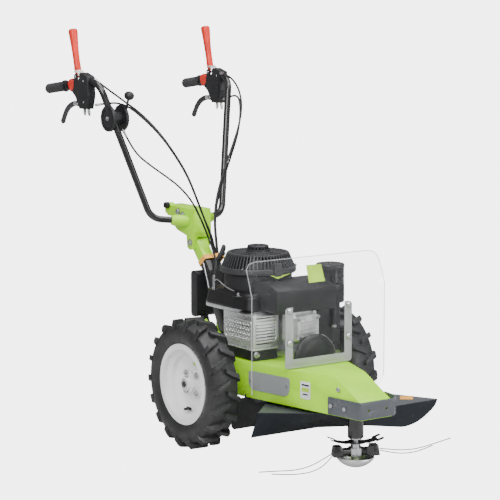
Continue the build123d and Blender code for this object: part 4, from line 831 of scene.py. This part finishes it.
# fan cover: slotted cone, flat vented top and a raised vented middle
fan_at = at(crank_x, crank_y, 0)
ribs = 60
shell = [(0.1335, 0.598), (0.137, 0.601), (0.137, 0.612), (0.1345, 0.618), (0.131, 0.620)]
body_ring = shell + [(0.122, 0.6195), (0.122, 0.600), (0.1335, 0.598)]
skirt = piece("fan_cover_skirt", lathe(body_ring, fan_at, Z), "fan_grey", "chassis")
# black solid inside the cover, seen between the ribs and fins: painted shade for the dark inside of the
# slots and vents
piece("fan_cover_painted_shade_fill", lathe([(0, 0.604), (0.122, 0.604), (0.122, 0.618), (0.1035, 0.6585),
                                (0, 0.6585)], fan_at, Z), "black", "chassis")
for k in range(ribs):
    place = basis(fan_at, Z) @ Matrix.Rotation(2 * math.pi * k / ribs, 4, "Z")
    side = []
    for r, z in ((0.124, 0.616), (0.1315, 0.6195), (0.1305, 0.6235), (0.1125, 0.6645), (0.108, 0.6665),
                 (0.101, 0.6665), (0.103, 0.655)):
        side.append(place @ Vector((r, -0.0026, z)))
    other = [spot + place.to_3x3() @ Vector((0, 0.0052, 0)) for spot in side]
    piece(f"fan_rib_{k}", loft([side, other]), "fan_grey", "chassis", 0.0006)
for label, inner, outer, low, high in (("outer", 0.0985, 0.1115, 0.6615, 0.6680),
                                       ("inner", 0.044, 0.0545, 0.6645, 0.6705),
                                       ("middle", 0.074, 0.0785, 0.6630, 0.6690)):
    ring = [(inner, low), (outer, low), (outer, high - 0.0016), (outer - 0.0016, high),
            (inner + 0.0012, high),
            (inner, high - 0.0012), (inner, low)]
    piece(f"fan_top_ring_{label}", lathe(ring, fan_at, Z), "fan_grey", "chassis")
for k in range(36):
    place = basis(fan_at, Z) @ Matrix.Rotation(2 * math.pi * k / 36, 4, "Z")
    piece(f"fan_top_fin_{k}", prism(rounded(0.047, 0.0042, 0.0018, 2),
                                    place @ Matrix.Translation((0.0765, 0, 0.6625)), 0.0055),
          "fan_grey", "chassis", 0.0005)
cap = [(0.0, 0.664), (0.0405, 0.664), (0.0415, 0.668), (0.0400, 0.676), (0.0345, 0.6785), (0.0, 0.6785)]
piece("fan_cap", lathe(cap, fan_at, Z), "fan_grey", "chassis")
for k in range(20):
    place = basis(fan_at, Z) @ Matrix.Rotation(2 * math.pi * k / 20, 4, "Z")
    side = [place @ Vector((r, -0.0022, z)) for r, z in ((0.014, 0.677), (0.039, 0.677), (0.0395, 0.683),
                                                         (0.034, 0.6895), (0.014, 0.6905))]
    other = [spot + place.to_3x3() @ Vector((0, 0.0044, 0)) for spot in side]
    piece(f"fan_cap_rib_{k}", loft([side, other]), "fan_grey", "chassis", 0.0005)
for label, ring in (("rim", [(0.0335, 0.686), (0.0385, 0.686), (0.0385, 0.6895), (0.0365, 0.6915),
                             (0.0335, 0.6905), (0.0335, 0.686)]),
                    ("hub", [(0, 0.686), (0.0165, 0.686), (0.0165, 0.6915), (0.0145, 0.6930),
                             (0.005, 0.6935), (0, 0.6935)])):
    piece(f"fan_cap_{label}", lathe(ring, fan_at, Z), "fan_grey", "chassis")
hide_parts("fan_shroud")
# latch tab at the front of the cover
tab = basis(at(-0.012, crank_y - 0.1375, 0.612), Vector((0, -1, 0.08)))
piece("fan_latch", prism(rounded(0.030, 0.052, 0.006), tab @ Matrix.Translation((0, 0.004, -0.006)),
                         0.011), "fan_grey", "chassis", 0.0015)
piece("fan_latch_lip", prism(rounded(0.018, 0.012, 0.003), tab @ Matrix.Translation((0, -0.008, 0.005)),
                             0.004), "fan_grey",
      "chassis", 0.001)
for k in range(6):
    a = math.radians(30 + 60 * k)
    lug = at(crank_x + 0.1325 * math.cos(a), crank_y + 0.1325 * math.sin(a), 0.6145)
    piece(f"fan_cover_lug_{k}", lathe([(0, 0), (0.0068, 0), (0.0068, 0.0052), (0.0052, 0.0066),
                                       (0, 0.0066)], lug, Z, 32),
          "fan_grey", "chassis")
    piece(f"fan_cover_screw_{k}", lathe([(0, 0.006), (0.0036, 0.006), (0.0036, 0.0076), (0.0016, 0.0088),
                                         (0, 0.0088)],
                                        lug, Z, 24), "steel", "chassis")

# black base of the blower, standing on the flange
def slab(name, x0, x1, y0, y1, z0, z1, radius, material, taper=0.0, bevel=0.003):
    """Rounded block, narrowed at the top by the taper."""
    low, high = rounded(x1 - x0, y1 - y0, radius), rounded(x1 - x0 - 2 * taper, y1 - y0 - 2 * taper, radius)
    middle = at((x0 + x1) / 2, (y0 + y1) / 2, 0)
    rings = [[middle + Vector((x, y, z)) for x, y in ring] for ring, z in ((low, z0), (high, z1))]
    return piece(name, loft(rings), material, "chassis", bevel)


slab("blower_base", -0.146, 0.140, -0.118, 0.174, 0.4822, 0.530, 0.034, "black", 0.008,
     0.006)
slab("blower_base_step", -0.136, 0.130, -0.108, 0.164, 0.528, 0.540, 0.060, "black",
     0.005, 0.003)

# folded cover over the muffler, its base band and its stud
top_slope = [(-0.152, -0.152, 0.4685), (-0.040, -0.152, 0.4685), (-0.040, 0.032, 0.4685),
             (-0.152, 0.032, 0.4685)]
roof_low = [at(*spot) for spot in top_slope]
roof_mid = [at(-0.150, -0.150, 0.4705), at(-0.042, -0.150, 0.4705), at(-0.042, 0.030, 0.4705),
            at(-0.150, 0.030, 0.4705)]
roof_top = [at(-0.112, -0.112, 0.4815), at(-0.046, -0.112, 0.4815), at(-0.046, 0.020, 0.4815),
            at(-0.112, 0.020, 0.4815)]
piece("muffler_roof", loft([roof_low, roof_mid, roof_top]), "sheet", "chassis", 0.0015)
slab("engine_base_band", -0.151, -0.040, -0.152, 0.030, 0.3145, 0.3515, 0.012, "black",
     0.001, 0.003)
slab("engine_base_lip", -0.154, -0.038, -0.155, 0.032, 0.3505, 0.3565, 0.012, "cast",
     0.0, 0.001)
for label, spot, facing, width, height in (("side", (-0.1502, -0.061, 0.4155), -X, 0.160, 0.070),
                                           ("front", (-0.096, -0.1522, 0.4155), -Y, 0.088, 0.070)):
    plate = basis(at(*spot), facing)
    edge = [Vector((x, y, 0.0006)) for x, y in rounded(width, height, 0.010, 6)]
    edge.append(edge[0])
    piece(f"muffler_bead_{label}", tube_mesh([plate @ p for p in edge], 0.0016, 8), "sheet", "chassis")
    if label == "front":
        for k in range(6):
            rib = plate @ Matrix.Translation((0, -0.0265 + 0.0106 * k, 0))
            hood = [(-0.036, 0.0), (-0.033, 0.0046), (0.033, 0.0046), (0.036, 0.0)]
            place = rib @ Matrix.Rotation(math.radians(90), 4, "X")
            turned = [(x, -y) for x, y in hood] if (place.to_3x3() @ Y).dot(facing) < 0 else hood
            piece(f"muffler_louvre_{k}", prism(turned, place, 0.0022), "sheet", "chassis",
                  0.0006)
    else:
        for row in range(4):
            for column in range(9):
                spot_at = plate @ Vector((-0.068 + 0.017 * column, -0.0255 + 0.017 * row, 0))
                ring = [(0.0032, 0), (0.0062, 0), (0.0058, 0.0012), (0.0042, 0.0014), (0.0032, 0)]
                piece(f"muffler_ring_{row}_{column}", lathe(ring, spot_at, facing, 20), "sheet", "chassis")
hex_bolt("muffler_stud", at(-0.137, -0.1525, 0.336), -Y, 0.0072, "chassis", 0.012)

# bright rim of the crankcase flange, governor plate and its bolt, throttle linkage
rim = [(-0.146, -0.052, 0.4765), (-0.146, 0.060, 0.4765), (-0.132, 0.120, 0.4765), (-0.110, 0.158, 0.4765),
       (-0.070, 0.181, 0.4765), (0.0, 0.184, 0.4765)]
piece("flange_rim", tube_mesh(along([at(*spot) for spot in rim]), 0.0034, 12), "cast_fine", "chassis")
governor = basis(at(-0.124, -0.030, 0.5302), Vector((-0.12, -0.10, 1)))
piece("governor_plate", prism(rounded(0.036, 0.060, 0.008), governor, 0.004), "black_paint", "chassis",
      0.0008)
hex_bolt("governor_bolt", governor @ Vector((0.0, -0.010, 0.004)), governor.to_3x3() @ Z, 0.0065,
         "chassis", 0.0055)
link = along([at(-0.132, 0.118, 0.552), at(-0.136, 0.104, 0.572), at(-0.138, 0.080, 0.570),
              at(-0.136, 0.052, 0.556),
              at(-0.132, 0.020, 0.545), at(-0.126, -0.004, 0.540)])
piece("throttle_link", tube_mesh(link, 0.0021, 10), "steel", "chassis")
arm = basis(at(-0.1310, 0.118, 0.554), -X)
piece("governor_arm", prism(rounded(0.014, 0.060, 0.006), arm, 0.003), "steel", "chassis", 0.0006)
hex_bolt("governor_arm_bolt", arm @ Vector((0, -0.018, 0.003)), -X, 0.005, "chassis", 0.004)

# plain coloured films on the duct, the shield and the deck
def film(name, corners, material, lift=0.0006, body="chassis"):
    spots = [at(*corner) for corner in corners]
    up = (spots[1] - spots[0]).cross(spots[2] - spots[0]).normalized()
    toward = Vector((-0.5, -0.8, 0.3))
    up = up if up.dot(toward) > 0 else -up
    return piece(name, loft([spots, [spot + up * lift for spot in spots]]), material, body)


film("duct_film", ((-0.051, -0.072, 0.6075), (0.063, -0.070, 0.6085), (0.046, -0.099, 0.5993),
                   (-0.025, -0.125, 0.5908)), "lime", 0.0008)
film("shield_film", ((-0.034, -0.3025, 0.663), (0.030, -0.303, 0.661), (0.031, -0.325, 0.6045),
                     (-0.038, -0.325, 0.604)), "lime", 0.0006)

# cylinder end: ribs on the rocker cover and its two screws
reach = Vector((0.031, -0.272, 0)).normalized()
across = Vector((-reach.y, reach.x, 0)) * -1
cover_face = at(crank_x, crank_y, 0.425) + reach * 0.269
for k in range(5):
    rib = basis(cover_face + Vector((0, 0, -0.026 + 0.013 * k)), reach)
    piece(f"rocker_rib_{k}", prism(rounded(0.074, 0.0042, 0.0018, 3), rib, 0.0028), "cast", "chassis",
          0.0008)
for k, (u, v) in enumerate(((-0.046, 0.036), (0.046, 0.036), (-0.046, -0.036), (0.046, -0.036))):
    hex_bolt(f"rocker_bolt_{k}", cover_face + across * u + Z * v - reach * 0.004, reach, 0.0055,
             "chassis", 0.006)

# air filter lid, band clips and breather hose
lid = [(0, 0), (0.0505, 0), (0.0512, 0.0012), (0.0512, 0.010), (0.0495, 0.013), (0.040, 0.0148),
       (0.012, 0.0152), (0.010, 0.019),
       (0, 0.0195)]
piece("air_filter_lid", lathe(lid, at(0.217, -0.110, 0.6105), Z, 72), "fan_grey", "chassis")
for k in range(4):
    height = 0.512 + 0.022 * k
    loop = [at(0.217 + 0.0504 * math.cos(math.radians(5 * n)),
               -0.110 + 0.0504 * math.sin(math.radians(5 * n)), height)
            for n in range(73)]
    piece(f"air_filter_rib_{k}", tube_mesh(loop, 0.0013, 8), "gloss", "chassis")
hose = [at(0.184, -0.168, 0.586), at(0.185, -0.171, 0.540), at(0.186, -0.172, 0.470),
        at(0.186, -0.171, 0.402)]
piece("breather_tube", tube_mesh(along(hose), 0.0092, 24), "gloss", "chassis")
piece("breather_clamp", lathe([(0.0092, 0), (0.0112, 0), (0.0112, 0.009), (0.0092, 0.009), (0.0092, 0)],
                              at(0.186, -0.171, 0.404), Z, 32), "steel", "chassis")
slab("intake_panel", 0.143, 0.236, -0.160, -0.098, 0.3160, 0.4900, 0.014, "gloss", 0.003,
     0.004)
slab("intake_panel_rib", 0.150, 0.166, -0.1635, -0.100, 0.330, 0.480, 0.004, "black",
     0.0, 0.0015)
# dark guard in front of the cylinder's foot
fan_outline = [(0.090 * math.cos(math.radians(6 * k)),
                0.092 * math.sin(math.radians(6 * k))) for k in range(31)]
fan_frame = basis(at(0.042, -0.250, 0.3140), -Y)
foot_guard = []
for depth, share in ((0.0, 1.0), (0.006, 1.0), (0.016, 0.93), (0.022, 0.80), (0.024, 0.6)):
    foot_guard.append([fan_frame @ Vector((x * share, y * share, depth)) for x, y in fan_outline])
piece("cylinder_foot_guard", loft(foot_guard), "dark", "chassis")
# grey line along only one stretch of the dark guard's edge: a painted highlight
edge = [fan_frame @ Vector((x, y, 0.004)) for x, y in fan_outline]
edge = [spot for spot in edge if (spot.x - AXLE.x - 0.042) > 0.02]
piece("foot_guard_painted_highlight", tube_mesh(edge, 0.0022, 10), "plate_grey", "chassis")

# recoil grip with its rope stub
grip_spot = at(-0.050, 0.190, 0.648)
pull = Vector((-0.72, 0.56, 0.41)).normalized()
grip_frame = basis(grip_spot, pull, Z)
grip_rings = []
for k in range(17):
    t = -1 + k / 8
    half = 0.0068 + 0.0030 * (1 - abs(t) ** 4) + 0.0012 * abs(math.sin(4 * math.pi * t))
    end_cut = max(0.12, 1 - max(0.0, abs(t) - 0.9) * 8)
    spot = grip_frame @ Vector((0, 0.0325 * t, 0.002 * t * t * 2))
    grip_rings.append(superellipse(spot, grip_frame.to_3x3() @ X, grip_frame.to_3x3() @ Z, half * end_cut,
                                   half * 0.92 * end_cut,
                                   2.2, 20))
handle = piece("recoil_grip", loft(grip_rings), "rubber", "starter", sub=1)
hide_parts("starter_grip")
neck = [(0, -0.014), (0.0056, -0.014), (0.0075, -0.009), (0.0078, 0.0), (0, 0.0)]
piece("recoil_grip_neck", lathe(neck, grip_spot, pull, 32), "rubber", "starter")

# ---------------------------------------------------------------- deck and shield
side_out = Vector((-0.9834, -0.1814, 0))
label_frame = basis(at(-0.1125, -0.408, 0.252) + side_out * 0.0004, side_out)
piece("deck_label", prism(rounded(0.046, 0.060, 0.003), label_frame, 0.0008), "label", "chassis")
for k, (width, height, y) in enumerate(((0.034, 0.006, 0.018), (0.034, 0.014, 0.002),
                                        (0.024, 0.005, -0.014))):
    bar = label_frame @ Matrix.Translation((0, y, 0.0008))
    piece(f"deck_label_bar_{k}", prism(rounded(width, height, 0.001, 2), bar, 0.0003),
          "lime" if k == 1 else "dark", "chassis")
film("deflector_film", ((0.326, -0.379, 0.1723), (0.364, -0.405, 0.1723), (0.3275, -0.449, 0.1723),
                        (0.290, -0.423, 0.1723)),
     "orange", 0.0006)
button = [(0, 0), (0.0085, 0), (0.0085, 0.0012), (0.0068, 0.0038), (0.003, 0.0048), (0, 0.005)]
piece("deck_button", lathe(button, at(-0.0853, -0.5549, 0.277), side_out, 40), "steel", "chassis")
for k, x in enumerate((-0.127, 0.127)):
    for n, z in enumerate((0.404, 0.515)):
        screw = [(0, 0), (0.0105, 0), (0.0105, 0.0012), (0.0085, 0.0042), (0.004, 0.0056),
                 (0.0034, 0.0036), (0, 0.0036)]
        piece(f"shield_screw_{k}_{n}", lathe(screw, at(x, -0.3381, z), -Y, 40), "turned", "chassis")

# lighter, more opaque rim along the clear shield's edge: a painted highlight where the edge catches the
# light
shield_highlight_points = [at(-0.285, -0.3365, 0.244), at(-0.285, -0.3365, 0.400), at(-0.285, -0.3365, 0.578),
              at(-0.2845, -0.318, 0.628),
              at(-0.282, -0.300, 0.668), at(-0.268, -0.2935, 0.684), at(-0.240, -0.292, 0.690)]
shield_highlight_points += [Vector((2 * AXLE.x - spot.x, spot.y, spot.z)) for spot in reversed(shield_highlight_points)]
piece("shield_rim_painted_highlight", tube_mesh(shield_highlight_points, 0.0017, 8), "clear_edge_highlight", "chassis")

# black sheet under the deck, between the wheels: painted shade under the deck
shade_sheet_outline = [(-0.215, 0.075), (0.215, 0.075), (0.225, 0.085), (0.225, 0.184), (0.168, 0.184),
                (0.168, 0.196),
                (-0.168, 0.196), (-0.168, 0.184), (-0.225, 0.184), (-0.225, 0.085)]
shade_sheet_rings = [[at(x, y, z) for x, z in shade_sheet_outline] for y in (-0.130, -0.124)]
piece("under_deck_shade_sheet", loft(shade_sheet_rings), "rubber", "chassis", 0.002)

# wheel hubs, lock pins, and black patches that paint the shade in the slots that the valves reach through
for hand, label in ((-1, "right"), (1, "left")):
    centre = pivot(f"wheel_{label}_spin")
    out = X * hand
    face = centre + out * 0.0100
    boss = [(0, 0), (0.0300, 0), (0.0300, 0.004), (0.0240, 0.008), (0.0235, 0.026), (0.0215, 0.028),
            (0.0150, 0.028),
            (0.0150, 0.022), (0, 0.022)]
    piece(f"hub_boss_{label}", lathe(boss, face, out, 64), "white", f"wheel_{label}")
    pin = [(0, 0), (0.0058, 0), (0.0058, 0.060), (0.0048, 0.062), (0, 0.062)]
    piece(f"hub_pin_{label}", lathe(pin, face + out * 0.018 - Z * 0.031, Z, 24), "steel",
          f"wheel_{label}")
    piece(f"hub_nut_{label}", lathe([(0, 0.020), (0.0125, 0.020), (0.0125, 0.030), (0.0105, 0.032),
                                     (0, 0.032)], face, out, 6),
          "dark", f"wheel_{label}")
    # thin black patch on the rim face at the valve slot: painted shade standing for the hole
    slot = basis(face + Vector((0, 0.012, -0.093)) + out * 0.0004, out)
    piece(f"valve_slot_painted_shade_{label}", prism(rounded(0.034, 0.011, 0.005), slot, 0.0012), "black",
          f"wheel_{label}")
    piece(f"valve_stem_{label}", lathe([(0, 0), (0.0040, 0), (0.0040, 0.010), (0.0050, 0.011),
                                        (0.0050, 0.020), (0, 0.021)],
                                       slot.translation, out, 20), "rubber", f"wheel_{label}")
    for k in range(4):
        a = math.radians(45 + 90 * k)
        spot = face + Vector((0, 0.046 * math.cos(a), 0.046 * math.sin(a)))
        hex_bolt(f"hub_bolt_{label}_{k}", spot, out, 0.0075, f"wheel_{label}", 0.006)
